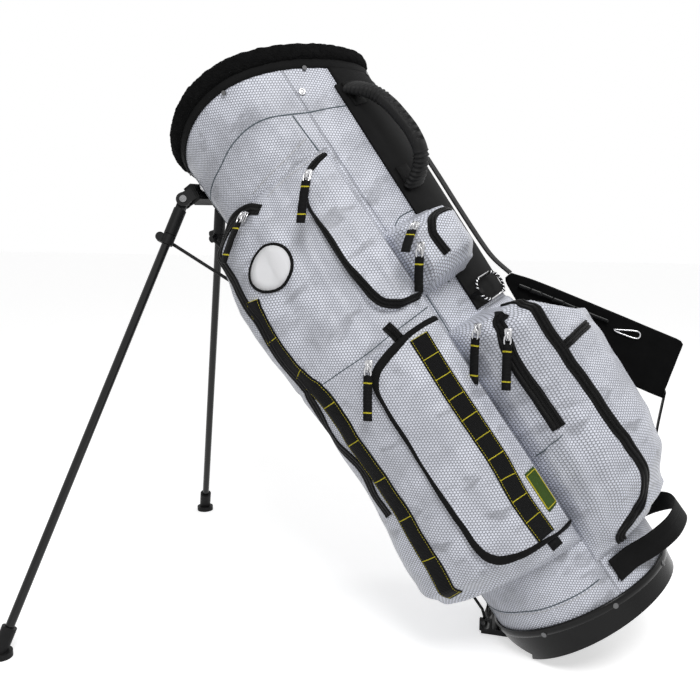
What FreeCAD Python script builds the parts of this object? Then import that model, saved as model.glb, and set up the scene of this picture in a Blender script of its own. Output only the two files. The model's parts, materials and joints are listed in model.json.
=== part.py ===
"""Golf stand bag, leaning on its two deployed legs.

Row frame: +Z up, the legs reach towards -X, +Y is the far side of the bag. The origin is the centre of the
foot pedal's flat underside, where the bag stands on the floor.

Bag frame: its Z runs up the bag's axis from the underside of the boot, its X points to the spine side (away
from the legs). Angles round the bag start at the leg side: 0 leg side, 90 near side (-Y), 180 spine, 270 far.
"""
import FreeCAD
import Part
import Sketcher
import math
import os
from FreeCAD import Placement, Rotation, Vector

SIZES = [
    ("lean", 35.0, "angle of the bag's axis from upright, degrees"),
    ("play", 0.05, "radial running clearance of a pin in its hole"),
    ("seat_gap", 0.3, "gap between soft or curved pieces that lie on each other"),
    # boot
    ("boot_radius", 125.5, "outer radius of the boot at its rim"),
    ("boot_foot_radius", 121.0, "outer radius of the boot at its underside"),
    ("boot_height", 40.0, "height of the rim above the underside, on the axis"),
    ("rim_tilt", 4.6, "slope of the rim, higher on the leg side, degrees"),
    ("boot_wall", 3.0, "wall of the boot"),
    ("boot_floor", 4.0, "floor of the boot"),
    ("nose_offset", 88.0, "from the axis to the line on which the boot tips"),
    ("nose_flat", 0.8, "depth worn flat at the tipping line"),
    ("bevel_gap", 0.8, "gap between the pedal and the bevelled front of the boot"),
    ("rivet_radius", 3.4, "head of a boot rivet"),
    # pedal
    ("pedal_thickness", 8.0, "thickness of the foot pedal"),
    ("pedal_width", 74.0, "width of the foot pedal between the boot's ears"),
    ("pedal_reach", 64.0, "from the pedal's pin to the rod eyes"),
    ("pedal_pin_radius", 2.5, "pin of the foot pedal"),
    ("pedal_pin_setback", 5.0, "from the tipping line forward to the pedal's pin"),
    ("pedal_tip", 6.0, "pedal in front of the rod eyes"),
    ("rod_eye_height", 13.0, "height of the rod eyes above the floor"),
    ("ear_width", 5.0, "thickness of the boot's ears and of the pedal's lugs"),
    ("rod_eye_slack", 4.2, "radial slack of the rod in the pedal's eyes"),
    # body
    ("base_radius", 122.0, "outer radius of the fabric body at the boot"),
    ("top_radius", 140.0, "outer radius of the fabric body at its top"),
    ("body_top", 800.0, "height at which top_radius holds"),
    ("body_foot", 24.0, "height of the fabric's lower edge, inside the boot"),
    ("fabric", 3.0, "foam-backed fabric"),
    ("front_seam", 28.0, "angle of the seams beside the legs"),
    ("back_seam", 122.0, "angle of the seams beside the spine"),
    ("mouth_low", 787.5, "height of the fabric's edge on the axis"),
    ("mouth_arc", 265.0, "radius of the saddle that the mouth follows"),
    ("mouth_tilt", 5.1, "slope of the mouth, higher on the leg side, degrees"),
    ("cuff_radius", 149.0, "outer radius of the padded cuff"),
    ("cuff_inner", 127.0, "inner radius of the padded cuff"),
    ("cuff_height", 32.0, "cuff above the fabric's edge"),
    ("binding_height", 10.0, "smooth binding between fabric and cuff"),
    ("collar_wall", 5.0, "wall of the moulded collar inside the mouth"),
    ("collar_foot", 742.0, "height of the collar's lower edge"),
    ("bar_width", 9.0, "width of a divider bar"),
    ("bar_depth", 24.0, "depth of a divider bar"),
    ("divider", 2.0, "fabric of the club dividers"),
    ("divider_foot", 70.0, "height of the dividers' lower edge"),
    ("stay_radius", 3.5, "stiffening stay"),
    ("snap_radius", 4.6, "hood snap on the fabric"),
    ("stud_radius", 2.9, "small stud at the fabric's edge"),
    ("stud_height", 3.0, "snaps and studs above the fabric"),
    # legs
    ("pivot_offset", 160.0, "leg pivots in front of the axis"),
    ("pivot_spread", 58.0, "leg pivots beside the middle plane"),
    ("pivot_height", 777.0, "leg pivots up the axis"),
    ("leg_length", 649.0, "leg pivot to the foot's centre"),
    ("foot_spread", 290.0, "feet beside the middle plane"),
    ("foot_height", 11.0, "foot's centre above the floor"),
    ("foot_radius", 15.0, "sole of a foot"),
    ("leg_radius", 6.0, "outer radius of a leg tube"),
    ("leg_bore", 4.8, "inner radius of a leg tube"),
    ("sleeve_radius", 9.0, "moulded sleeve at the head of a leg"),
    ("sleeve_top", 14.0, "sleeve starts this far below the pivot"),
    ("sleeve_foot", 52.0, "sleeve ends this far below the pivot"),
    ("eye_radius", 9.0, "eye at the head of a leg"),
    ("eye_width", 10.0, "width of that eye"),
    ("pivot_pin_radius", 3.0, "leg pivot screw"),
    ("cheek", 4.0, "bracket cheek beside a leg's eye"),
    ("cheek_gap", 0.3, "gap between a leg's eye and a cheek"),
    # spreaders and push rod
    ("lug_reach", 60.0, "leg pivot to the spreader's eye, along the leg"),
    ("lug_side", 14.0, "spreader's eye beside the leg, towards the middle"),
    ("spreader_length", 200.0, "spreader rod between its eyes"),
    ("spreader_radius", 2.4, "spreader rod"),
    ("spreader_eye", 5.5, "outer radius of a spreader's eye"),
    ("spreader_eye_width", 5.0, "width of a spreader's eye"),
    ("open_gap", 0.5, "clearance of the open pivot between spreader and leg"),
    ("yoke_height", 560.0, "yoke on the leg side of the body, legs deployed"),
    ("yoke_spread", 14.0, "spreaders beside the middle plane at the yoke"),
    ("yoke_gap", 1.0, "yoke off the fabric"),
    ("yoke_thickness", 13.0, "yoke off its inner face"),
    ("yoke_size", 26.0, "length of the yoke along the bag"),
    ("rod_radius", 2.0, "push rod wire"),
    ("rod_spread", 30.0, "push rod legs beside the middle plane"),
    ("rod_bend", 70.0, "height of the push rod's lower bend"),
    # pockets: how far they stand off the fabric
    ("apparel_depth", 60.0, "long pocket on each side"),
    ("flank_depth", 44.0, "extra fullness of the long pockets near the legs"),
    ("ball_depth", 96.0, "ball pocket beside the spine"),
    ("ball_top", 420.0, "top of the ball pocket up the axis"),
    ("pouch_depth", 58.0, "valuables pouch"),
    ("chest_depth", 11.0, "flat zip pocket under the cuff"),
    ("utility_depth", 7.0, "flat bound pocket on the long pocket"),
    ("webbing", 1.6, "thickness of webbing"),
    ("webbing_width", 25.0, "width of the ladder webbing"),
    ("patch_radius", 30.0, "round patch"),
    # spine side
    ("spine_board", 3.0, "thickness of the spine strip"),
    ("board_top", 760.0, "upper end of the spine strip"),
    ("spine_board_edge", 143.0, "angle of the spine strip's near edge"),
    ("handle_angle", 152.0, "place of the carrying handle round the bag"),
    ("handle_foot", 604.0, "lower end of the carrying handle"),
    ("handle_head", 748.0, "upper end of the carrying handle"),
    ("handle_rise", 60.0, "crown of the handle above the fabric"),
    ("handle_grip", 24.0, "thickness of the handle at its crown"),
    ("handle_width", 26.0, "width of the handle"),
    ("strap_pad", 9.0, "thickness of the shoulder pad"),
    ("strap_side", 40.0, "middle of the shoulder strap beside the middle plane"),
    ("strap_webbing_width", 36.0, "width of the strap's webbing"),
    ("grab_width", 32.0, "width of the grab strap on the boot"),
    ("ring_wire", 2.0, "wire radius of rings and the clip"),
    ("clip_radius", 15.0, "radius of the clip's round ends"),
    ("clip_length", 30.0, "between the centres of the clip's round ends"),
    # zips
    ("slider_length", 13.0, "zip slider"),
    ("slider_width", 8.0, "zip slider"),
    ("slider_height", 5.0, "zip slider"),
    ("pull_width", 9.0, "webbing tab of a zip puller"),
    ("pull_length", 46.0, "webbing tab of a zip puller"),
    ("pull_thickness", 2.4, "webbing tab of a zip puller"),
    ("pull_eye", 3.4, "outer radius of a puller's eye"),
    ("pull_pin", 1.1, "pin of a puller's eye"),
]

doc = FreeCAD.newDocument("golf_stand_bag")
dims = doc.addObject("Spreadsheet::Sheet", "dims")
for row, (alias, value, meaning) in enumerate(SIZES, start=1):
    dims.set(f"A{row}", meaning)
    dims.set(f"B{row}", str(value))
    dims.setAlias(f"B{row}", alias)
doc.recompute()


class Sizes:
    """Reads a driving size from the sheet by its alias."""

    def __getattr__(self, alias):
        return float(dims.get(alias))


D = Sizes()
nodes = {}
X, Y, Z = Vector(1, 0, 0), Vector(0, 1, 0), Vector(0, 0, 1)


# ---------------------------------------------------------------- frames
def bag_frame():
    """Places the bag frame: the boot's trimmed tipping line lies on the floor, behind the pedal."""
    tilt = math.radians(D.lean)
    rise = D.nose_offset * math.sin(tilt) - D.nose_flat
    pedal_back = D.pedal_thickness / 2
    pedal_length = pedal_back + D.pedal_reach + D.pedal_tip
    nose = pedal_length / 2 - pedal_back + D.pedal_pin_setback
    return Placement(Vector(nose + D.nose_offset * math.cos(tilt), 0, rise), Rotation(Y, -D.lean))


BAG = bag_frame()
TO_BAG = BAG.inverse()
NOSE_X = BAG.multVec(Vector(-D.nose_offset, 0, 0)).x
PEDAL_PIN = Vector(NOSE_X - D.pedal_pin_setback, 0, D.pedal_thickness / 2)
BEVEL_Z = D.pedal_thickness + D.bevel_gap


def body_radius(height):
    """Outer radius of the fabric body at a height in the bag frame."""
    slope = (D.top_radius - D.base_radius) / (D.body_top - D.boot_height)
    return D.base_radius + slope * (height - D.boot_height)


def radius_rule(height, offset="0"):
    """The same radius as an expression on the sheet."""
    slope = "(dims.top_radius - dims.base_radius) / (dims.body_top - dims.boot_height)"
    return f"dims.base_radius + {slope} * ({height} - dims.boot_height) + ({offset})"


def around(angle, radius, height=0.0):
    """A point in the bag frame from its angle round the bag."""
    turn = math.radians(angle)
    return Vector(-radius * math.cos(turn), -radius * math.sin(turn), height)


def on_body(angle, height, offset=0.0):
    return around(angle, body_radius(height) + offset, height)


def outward(angle):
    return around(angle, 1.0)


def mouth_height(point):
    """Height of the fabric's edge above a point of the bag's cross-section."""
    drop = D.mouth_arc - math.sqrt(D.mouth_arc ** 2 - point.y ** 2)
    return D.mouth_low - point.x * math.tan(math.radians(D.mouth_tilt)) + drop


def frame_at(origin, z_axis, x_hint):
    """A placement whose Z is z_axis and whose X lies near x_hint."""
    z = Vector(z_axis).normalize()
    x = x_hint - z * x_hint.dot(z)
    x.normalize()
    return Placement(origin, Rotation(x, z.cross(x), z, "ZXY"))


# ---------------------------------------------------------------- document helpers
def keep(name, obj, place=None):
    """Registers a finished sub-part under its node name."""
    obj.Label = name
    if place is not None:
        obj.Placement = place
    nodes[name] = obj
    return obj


def primitive(kind, place, **rules):
    """A Part primitive whose properties follow the sheet."""
    obj = doc.addObject(f"Part::{kind}", kind.lower())
    for prop, rule in rules.items():
        obj.setExpression(prop, str(rule))
    obj.Placement = place
    return obj


def cylinder(place, radius, height, angle=None):
    rules = {"Radius": radius, "Height": height}
    if angle is not None:
        rules["Angle"] = angle
    return primitive("Cylinder", place, **rules)


def box(place, length, width, height):
    """A box centred on its placement in length and width, rising along Z."""
    obj = primitive("Box", place, Length=length, Width=width, Height=height)
    doc.recompute()
    obj.Placement = place.multiply(Placement(Vector(-obj.Length.Value / 2, -obj.Width.Value / 2, 0), Rotation()))
    return obj


def cut(base, tool):
    obj = doc.addObject("Part::Cut", "cut")
    obj.Base, obj.Tool = base, tool
    return obj


def common(base, tool):
    obj = doc.addObject("Part::Common", "common")
    obj.Base, obj.Tool = base, tool
    return obj


def fuse(*members):
    obj = doc.addObject("Part::MultiFuse", "fuse")
    obj.Shapes = list(members)
    return obj


def group(*members):
    """Separate solids of one node, such as a set of rivets."""
    obj = doc.addObject("Part::Compound", "group")
    obj.Links = list(members)
    return obj


def feature(name, shape, place):
    """A sub-part whose shape is made from the sheet's sizes with Part's own functions."""
    obj = doc.addObject("Part::Feature", name)
    obj.Shape = shape
    return keep(name, obj, place)


def new_body(name):
    return doc.addObject("PartDesign::Body", name)


def sketch_on(body, role, name):
    sketch = body.newObject("Sketcher::SketchObject", name)
    plane = next(item for item in body.Origin.OriginFeatures if item.Role == role)
    sketch.AttachmentSupport = [(plane, "")]
    sketch.MapMode = "FlatFace"
    return sketch


def outline(sketch, points):
    """A closed polygon in a sketch."""
    count = len(points)
    for here, there in zip(points, points[1:] + points[:1]):
        sketch.addGeometry(Part.LineSegment(Vector(*here, 0), Vector(*there, 0)), False)
    for index in range(count):
        sketch.addConstraint(Sketcher.Constraint("Coincident", index, 2, (index + 1) % count, 1))


def circle_in(sketch, centre, rule):
    """A circle in a sketch whose radius follows the sheet."""
    index = sketch.addGeometry(Part.Circle(Vector(*centre, 0), Z, 1.0), False)
    number = sketch.addConstraint(Sketcher.Constraint("Radius", index, 1.0))
    sketch.renameConstraint(number, f"radius{index}")
    sketch.setExpression(f"Constraints.radius{index}", rule)


def pad(body, sketch, rule, midplane=False):
    obj = body.newObject("PartDesign::Pad", "pad")
    obj.Profile = sketch
    obj.setExpression("Length", rule)
    obj.Midplane = midplane
    return obj


def pocket_through(body, sketch):
    obj = body.newObject("PartDesign::Pocket", "pocket")
    obj.Profile = sketch
    obj.Type = "ThroughAll"
    obj.Midplane = True
    return obj


# ---------------------------------------------------------------- shared cutting shapes
def below_bevel(extra):
    """Everything under the bevelled front of the boot, in front of the tipping line."""
    place = Placement(Vector(NOSE_X, 0, BEVEL_Z), Rotation())
    deep = "dims.boot_radius"
    tool = primitive("Box", place, Length=f"2 * {deep}", Width=f"3 * {deep}", Height=f"2 * {deep}")
    doc.recompute()
    tool.Placement = Placement(
        Vector(NOSE_X - tool.Length.Value, -tool.Width.Value / 2, BEVEL_Z + extra - tool.Height.Value), Rotation())
    return tool


def below_floor():
    place = Placement(Vector(0, 0, -D.boot_radius), Rotation())
    return box(place, "6 * dims.boot_radius", "3 * dims.boot_radius", "dims.boot_radius")


def mouth(level):
    """The saddle-shaped cylinder above the mouth; level lifts its surface above the fabric's edge."""
    tilt = Rotation(Y, 90 + D.mouth_tilt)
    along = tilt.multVec(Z)
    middle = Vector(0, 0, D.mouth_low + D.mouth_arc / math.cos(math.radians(D.mouth_tilt)))
    place = BAG.multiply(Placement(middle - along * (2 * D.top_radius), tilt))
    return cylinder(place, f"dims.mouth_arc - ({level})", "4 * dims.top_radius")


def cone(low, high, offset, angle=None, start=0.0):
    """A slice of the body's cone; offset is added to the fabric's outer radius."""
    rules = {
        "Radius1": radius_rule(low, offset),
        "Radius2": radius_rule(high, offset),
        "Height": f"{high} - ({low})",
    }
    if angle is not None:
        rules["Angle"] = angle
    doc.recompute()
    slice_ = primitive("Cone", BAG.multiply(Placement(Vector(), Rotation(Z, start + 180))), **rules)
    slice_.setExpression("Placement.Base.x", f"{BAG.Base.x} - ({low}) * {math.sin(math.radians(D.lean))}")
    slice_.setExpression("Placement.Base.z", f"{BAG.Base.z} + ({low}) * {math.cos(math.radians(D.lean))}")
    return slice_


# ---------------------------------------------------------------- boot and pedal
def make_boot():
    rim_top = "dims.boot_height + 30"
    outer = primitive("Cone", BAG, Radius1="dims.boot_foot_radius",
                      Radius2="dims.boot_radius + (dims.boot_radius - dims.boot_foot_radius) * 30 / dims.boot_height",
                      Height=rim_top)
    inner_place = BAG.multiply(Placement(Vector(0, 0, D.boot_floor), Rotation()))
    inner = primitive("Cone", inner_place, Radius1="dims.boot_foot_radius - dims.boot_wall",
                      Radius2="dims.boot_radius - dims.boot_wall + (dims.boot_radius - dims.boot_foot_radius)",
                      Height=rim_top)
    room = box(Placement(Vector(0, 0, BEVEL_Z + D.boot_wall), Rotation()),
               "6 * dims.boot_radius", "3 * dims.boot_radius", "3 * dims.boot_radius")
    shell = cut(outer, common(inner, room))
    shell = cut(cut(shell, below_bevel(0)), cone("dims.body_foot", "dims.body_top", "dims.seat_gap"))
    rim = BAG.multiply(Placement(Vector(0, 0, D.boot_height), Rotation(Y, D.rim_tilt)))
    above_rim = box(rim, "4 * dims.boot_radius", "4 * dims.boot_radius", "2 * dims.boot_height")
    shell = cut(cut(shell, above_rim), below_floor())
    ears = []
    for side in (-1, 1):
        middle = side * (D.pedal_width / 2 + D.seat_gap + D.ear_width / 2)
        block = box(Placement(Vector(PEDAL_PIN.x, middle, D.nose_flat), Rotation()),
                    "dims.pedal_thickness + 2", "dims.ear_width",
                    "dims.pedal_thickness + dims.bevel_gap + 1 - dims.nose_flat")
        ears.append(block)
    bore = cylinder(Placement(Vector(PEDAL_PIN.x, D.boot_radius, PEDAL_PIN.z), Rotation(X, 90)),
                    "dims.pedal_pin_radius + dims.play", "2 * dims.boot_radius")
    keep("base_boot", cut(fuse(shell, *ears), bore))
    length = "dims.pedal_width + 2 * dims.ear_width + 2 * dims.seat_gap"
    span = D.pedal_width + 2 * D.ear_width + 2 * D.seat_gap
    pin_place = Placement(Vector(PEDAL_PIN.x, span / 2, PEDAL_PIN.z), Rotation(X, 90))
    keep("pedal_pin", cylinder(pin_place, "dims.pedal_pin_radius", length))
    make_rivets()


def rim_height(angle):
    return D.boot_height + D.boot_radius * math.cos(math.radians(angle)) * math.tan(math.radians(D.rim_tilt))


def make_rivets():
    rivets = []
    for angle in (70, 115, 160, 200, 245, 290):
        height = rim_height(angle) - 7.5
        wall = D.boot_foot_radius + (D.boot_radius - D.boot_foot_radius) * height / D.boot_height
        place = BAG.multiply(frame_at(around(angle, wall + 0.45, height), outward(angle), Z))
        rivets.append(cylinder(place, "dims.rivet_radius", "dims.stud_height - 1"))
    keep("boot_rivets", group(*rivets))


def make_pedal():
    """Flat plate with a rounded hinge end and two upright lugs that hold the push rod."""
    body = new_body("foot_pedal")
    back = D.pedal_thickness / 2
    side = sketch_on(body, "XZ_Plane", "side_outline")
    top, front = D.pedal_thickness / 2, -(D.pedal_reach + D.pedal_tip)
    side.addGeometry(Part.LineSegment(Vector(0, -top, 0), Vector(front, -top, 0)), False)
    side.addGeometry(Part.LineSegment(Vector(front, -top, 0), Vector(front, top, 0)), False)
    side.addGeometry(Part.LineSegment(Vector(front, top, 0), Vector(0, top, 0)), False)
    side.addGeometry(Part.ArcOfCircle(Part.Circle(Vector(0, 0, 0), Z, back), -math.pi / 2, math.pi / 2), False)
    for first, second in ((0, 1), (1, 2)):
        side.addConstraint(Sketcher.Constraint("Coincident", first, 2, second, 1))
    side.addConstraint(Sketcher.Constraint("Coincident", 2, 2, 3, 2))
    side.addConstraint(Sketcher.Constraint("Coincident", 3, 1, 0, 1))
    pad(body, side, "dims.pedal_width", midplane=True)
    lugs = sketch_on(body, "XZ_Plane", "lug_outline")
    eye_z = D.rod_eye_height - PEDAL_PIN.z
    reach = D.pedal_reach
    half = D.rod_radius + D.rod_eye_slack + 2.2
    outline(lugs, [(-reach - half, 0), (-reach - half, eye_z + half), (-reach + half, eye_z + half),
                   (-reach + half, 0)])
    pad(body, lugs, "dims.pedal_width", midplane=True)
    gap = sketch_on(body, "YZ_Plane", "middle_gap")
    inner = D.pedal_width / 2 - D.ear_width
    outline(gap, [(-inner, top), (inner, top), (inner, eye_z + half + 5), (-inner, eye_z + half + 5)])
    pocket_through(body, gap)
    eyes = sketch_on(body, "XZ_Plane", "rod_eyes")
    circle_in(eyes, (-reach, eye_z), "dims.rod_radius + dims.rod_eye_slack")
    circle_in(eyes, (0, 0), "dims.pedal_pin_radius + dims.play")
    pocket_through(body, eyes)
    keep("foot_pedal", body, Placement(PEDAL_PIN, Rotation()))


# ---------------------------------------------------------------- fabric body
def make_body():
    lowest = BEVEL_Z + D.boot_wall + D.seat_gap
    panels = (
        ("front_panel", -D.front_seam, "2 * dims.front_seam"),
        ("near_panel", D.front_seam, "dims.back_seam - dims.front_seam"),
        ("spine_panel", D.back_seam, "360 - 2 * dims.back_seam"),
        ("far_panel", 360 - D.back_seam, "dims.back_seam - dims.front_seam"),
    )
    for name, start, angle in panels:
        outer = cone("dims.body_foot", "dims.body_top + 60", "0", angle, start)
        inner = cone("dims.body_foot", "dims.body_top + 60", "-dims.fabric")
        panel = cut(cut(outer, inner), mouth("0"))
        keep(name, cut(panel, below_bevel(lowest - BEVEL_Z)))


def ring(low, high, outer, inner):
    """A straight ring of the bag frame between two radii."""
    place = BAG.multiply(Placement(Vector(0, 0, low), Rotation()))
    return cut(cylinder(place, outer, high - low), cylinder(place, inner, high - low))


def make_mouth():
    low, high = D.mouth_low - 2 * D.collar_wall, D.mouth_low + 130
    binding = cut(cone("dims.collar_foot", "dims.body_top + 60", "1.8"),
                  cone("dims.collar_foot", "dims.body_top + 60", "-dims.fabric"))
    keep("cuff_binding", cut(common(binding, mouth("0")), mouth("dims.binding_height")))
    cuff = ring(low, high, "dims.cuff_radius", "dims.cuff_inner")
    keep("terry_cuff", cut(common(cuff, mouth("dims.binding_height")), mouth("dims.cuff_height")))
    shell = cut(cone("dims.collar_foot", "dims.body_top + 60", "-dims.fabric - dims.seat_gap"),
                cone("dims.collar_foot", "dims.body_top + 60", "-dims.fabric - dims.seat_gap - dims.collar_wall"))
    shell = cut(shell, mouth("dims.binding_height"))
    span = body_radius(D.mouth_low) - D.fabric - D.seat_gap - D.collar_wall / 2
    bars = []
    for turn in (0, 90):
        place = BAG.multiply(Placement(Vector(0, 0, D.collar_foot), Rotation(Z, turn)))
        bar = box(place, f"{2 * span}", "dims.bar_width", "150")
        bars.append(cut(common(bar, mouth("-dims.bar_depth")), mouth("0")))
    keep("top_collar", fuse(shell, *bars))
    make_dividers()
    make_stays()
    make_snaps()


def make_dividers():
    """Full-length fabric walls that keep the clubs apart, hung from the bars."""
    top = D.mouth_low + 60
    reach = body_radius(D.divider_foot) - D.fabric - 2 * D.stay_radius - 2.5
    height = top - D.divider_foot
    lateral = box(BAG.multiply(Placement(Vector(0, 0, D.divider_foot), Rotation())),
                  "dims.divider", f"{2 * reach}", f"{height}")
    keep("lateral_divider", cut(lateral, mouth("-dims.bar_depth - dims.seat_gap")))
    halves = []
    for side in (-1, 1):
        width = reach - D.divider / 2 - D.seat_gap
        middle = side * (D.divider / 2 + D.seat_gap + width / 2)
        place = BAG.multiply(Placement(Vector(middle, 0, D.divider_foot), Rotation()))
        halves.append(cut(box(place, f"{width}", "dims.divider", f"{height}"),
                          mouth("-dims.bar_depth - dims.seat_gap")))
    keep("length_dividers", group(*halves))


def make_stays():
    """Three stiff rods inside the fabric, from the boot's floor to the collar."""
    low, high = D.boot_floor + 0.2, D.collar_foot - 0.2
    inset = D.fabric + D.stay_radius + D.seat_gap
    stays = []
    for angle in (90, 180, 270):
        foot = around(angle, D.boot_foot_radius - D.boot_wall - D.stay_radius - 0.8, low)
        head = on_body(angle, high, -inset)
        place = BAG.multiply(frame_at(foot, head - foot, outward(angle)))
        stays.append(cylinder(place, "dims.stay_radius", f"{(head - foot).Length}"))
    keep("body_stays", group(*stays))


def make_snaps():
    """Hood snaps on the fabric and small studs at its edge."""
    snaps = []
    for angle in (29, 125, 235, 331):
        height = mouth_height(on_body(angle, D.mouth_low)) - 36
        place = BAG.multiply(frame_at(on_body(angle, height, D.seat_gap), outward(angle), Z))
        snaps.append(cylinder(place, "dims.snap_radius", "dims.stud_height"))
    keep("hood_snaps", group(*snaps))
    studs = []
    for angle in (24, 91, 133, 180, 227, 269, 336):
        height = mouth_height(on_body(angle, D.mouth_low)) - 4
        place = BAG.multiply(frame_at(on_body(angle, height, D.seat_gap), outward(angle), Z))
        studs.append(cylinder(place, "dims.stud_radius", "dims.stud_height"))
    keep("edge_studs", group(*studs))


# ---------------------------------------------------------------- legs
def turned(vector, axis, angle):
    """A vector turned about an axis by an angle in degrees."""
    return Rotation(axis, angle).multVec(vector)


class Leg:
    """Axis, direction and swing of one leg, all in the bag frame."""

    def __init__(self, side):
        self.side = side
        self.pivot = Vector(-D.pivot_offset, side * D.pivot_spread, D.pivot_height)
        head = BAG.multVec(self.pivot)
        across = side * D.foot_spread - head.y
        drop = head.z - D.foot_height
        run = math.sqrt(D.leg_length ** 2 - across ** 2 - drop ** 2)
        self.foot = TO_BAG.multVec(Vector(head.x - run, side * D.foot_spread, D.foot_height))
        self.down = (self.foot - self.pivot).normalize()
        self.folded = Vector(0, 0, -1)
        axis = self.folded.cross(self.down)
        axis.normalize()
        self.axis = axis if side < 0 else axis * -1
        self.swing = math.degrees(self.folded.getAngle(self.down))
        self.inward = axis * (-side if axis.y * side < 0 else side)
        self.inward = self.axis * (1 if self.axis.y * side < 0 else -1)

    def direction(self, share):
        """Direction of the leg when a share of the fold is done."""
        sign = -1 if self.side < 0 else 1
        return turned(self.down, self.axis, sign * self.swing * share)

    def lug(self, share):
        """Centre of the spreader's eye beside the leg."""
        return self.pivot + self.direction(share) * D.lug_reach + self.inward * D.lug_side


def yoke_line():
    """A point and the upward direction of the line that the yoke's spreader pins follow."""
    slope = (D.top_radius - D.base_radius) / (D.body_top - D.boot_height)
    up = Vector(-slope, 0, 1)
    up.normalize()
    out = body_radius(D.yoke_height) + D.yoke_gap + D.yoke_thickness / 2
    return Vector(-out, 0, D.yoke_height), up


def yoke_pin(leg, share):
    """Spreader pin on the yoke that keeps the spreader's length when a share of the fold is done."""
    base, up = yoke_line()
    base = base + Y * (leg.side * D.yoke_spread)
    reach = leg.lug(share) - base
    along = reach.dot(up)
    return base + up * (along - math.sqrt(along ** 2 - reach.dot(reach) + D.spreader_length ** 2))


def make_legs():
    pins = []
    for name, side in (("near", -1), ("far", 1)):
        leg = Leg(side)
        pins.append(make_leg(name, leg))
        make_spreader(name, leg)
    keep("leg_pivot_screws", group(*pins))


def make_leg(name, leg):
    head = BAG.multiply(frame_at(leg.pivot, leg.axis, leg.down))
    along = BAG.multiply(frame_at(leg.pivot, leg.down, leg.axis))
    eye = cylinder(head.multiply(Placement(Vector(0, 0, -D.eye_width / 2), Rotation())),
                   "dims.eye_radius", "dims.eye_width")
    neck = box(along, "dims.eye_width", "1.5 * dims.eye_radius", "dims.sleeve_top + 1")
    start = along.multiply(Placement(Vector(0, 0, D.sleeve_top), Rotation()))
    sleeve = cylinder(start, "dims.sleeve_radius", "dims.sleeve_foot - dims.sleeve_top")
    tube_seat = along.multiply(Placement(Vector(0, 0, D.sleeve_top + 4), Rotation()))
    seat = cylinder(tube_seat, "dims.leg_radius + dims.play", "dims.sleeve_foot")
    pin_start = head.multiply(Placement(Vector(0, 0, -D.eye_width), Rotation()))
    bore = cylinder(pin_start, "dims.pivot_pin_radius + dims.play", "2 * dims.eye_width")
    keep(f"{name}_leg_socket", cut(cut(fuse(eye, neck, sleeve), seat), bore))

    length = "dims.leg_length - dims.sleeve_top - 4 - 6"
    outer = cylinder(tube_seat, "dims.leg_radius", length)
    keep(f"{name}_leg_tube", cut(outer, cylinder(tube_seat, "dims.leg_bore", length)))

    collar_start = along.multiply(Placement(Vector(0, 0, D.lug_reach - 7), Rotation()))
    ring_outer = cylinder(collar_start, "dims.sleeve_radius", "14")
    boss_height = D.lug_side - D.spreader_eye_width / 2 - D.open_gap
    toward = frame_at(leg.pivot + leg.down * D.lug_reach, leg.inward, leg.down)
    boss = cylinder(BAG.multiply(toward), "dims.spreader_eye + 1", f"{boss_height}")
    side_out = leg.inward.cross(leg.down)
    if side_out.z < 0:
        side_out = side_out * -1
    knob_place = frame_at(leg.pivot + leg.down * D.lug_reach + side_out * 11 - leg.inward * 5, leg.inward, leg.down)
    knob = cylinder(BAG.multiply(knob_place), "dims.spreader_eye + 1", "10")
    hole = cylinder(collar_start, "dims.leg_radius + dims.play", "14")
    keep(f"{name}_leg_lug", cut(fuse(ring_outer, boss, knob), hole))

    make_foot(name, leg, along)
    pin_length = D.eye_width + 2 * (D.cheek + D.cheek_gap)
    pin_place = head.multiply(Placement(Vector(0, 0, -pin_length / 2), Rotation()))
    shank = cylinder(pin_place, "dims.pivot_pin_radius", f"{pin_length}")
    cap_place = frame_at(leg.pivot - leg.inward * (pin_length / 2 + 2), leg.inward, leg.down)
    cap = cylinder(BAG.multiply(cap_place), "dims.pivot_pin_radius + 2", "2")
    return fuse(shank, cap)


def make_foot(name, leg, along):
    """Rubber cap round the tube's end on a round sole that lies flat on the floor."""
    length = D.leg_length
    start = along.multiply(Placement(Vector(0, 0, length - 30), Rotation()))
    cap = cylinder(start, "dims.leg_radius + 4", "34")
    centre = BAG.multVec(leg.foot)
    sole = cylinder(Placement(Vector(centre.x, centre.y, 0), Rotation()), "dims.foot_radius",
                    "dims.foot_height - 3")
    floor = box(Placement(Vector(centre.x, centre.y, -30), Rotation()), "100", "100", "30")
    seat = cylinder(start, "dims.leg_radius + dims.play", "24")
    keep(f"{name}_leg_foot", cut(cut(fuse(cap, sole), floor), seat))


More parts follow.
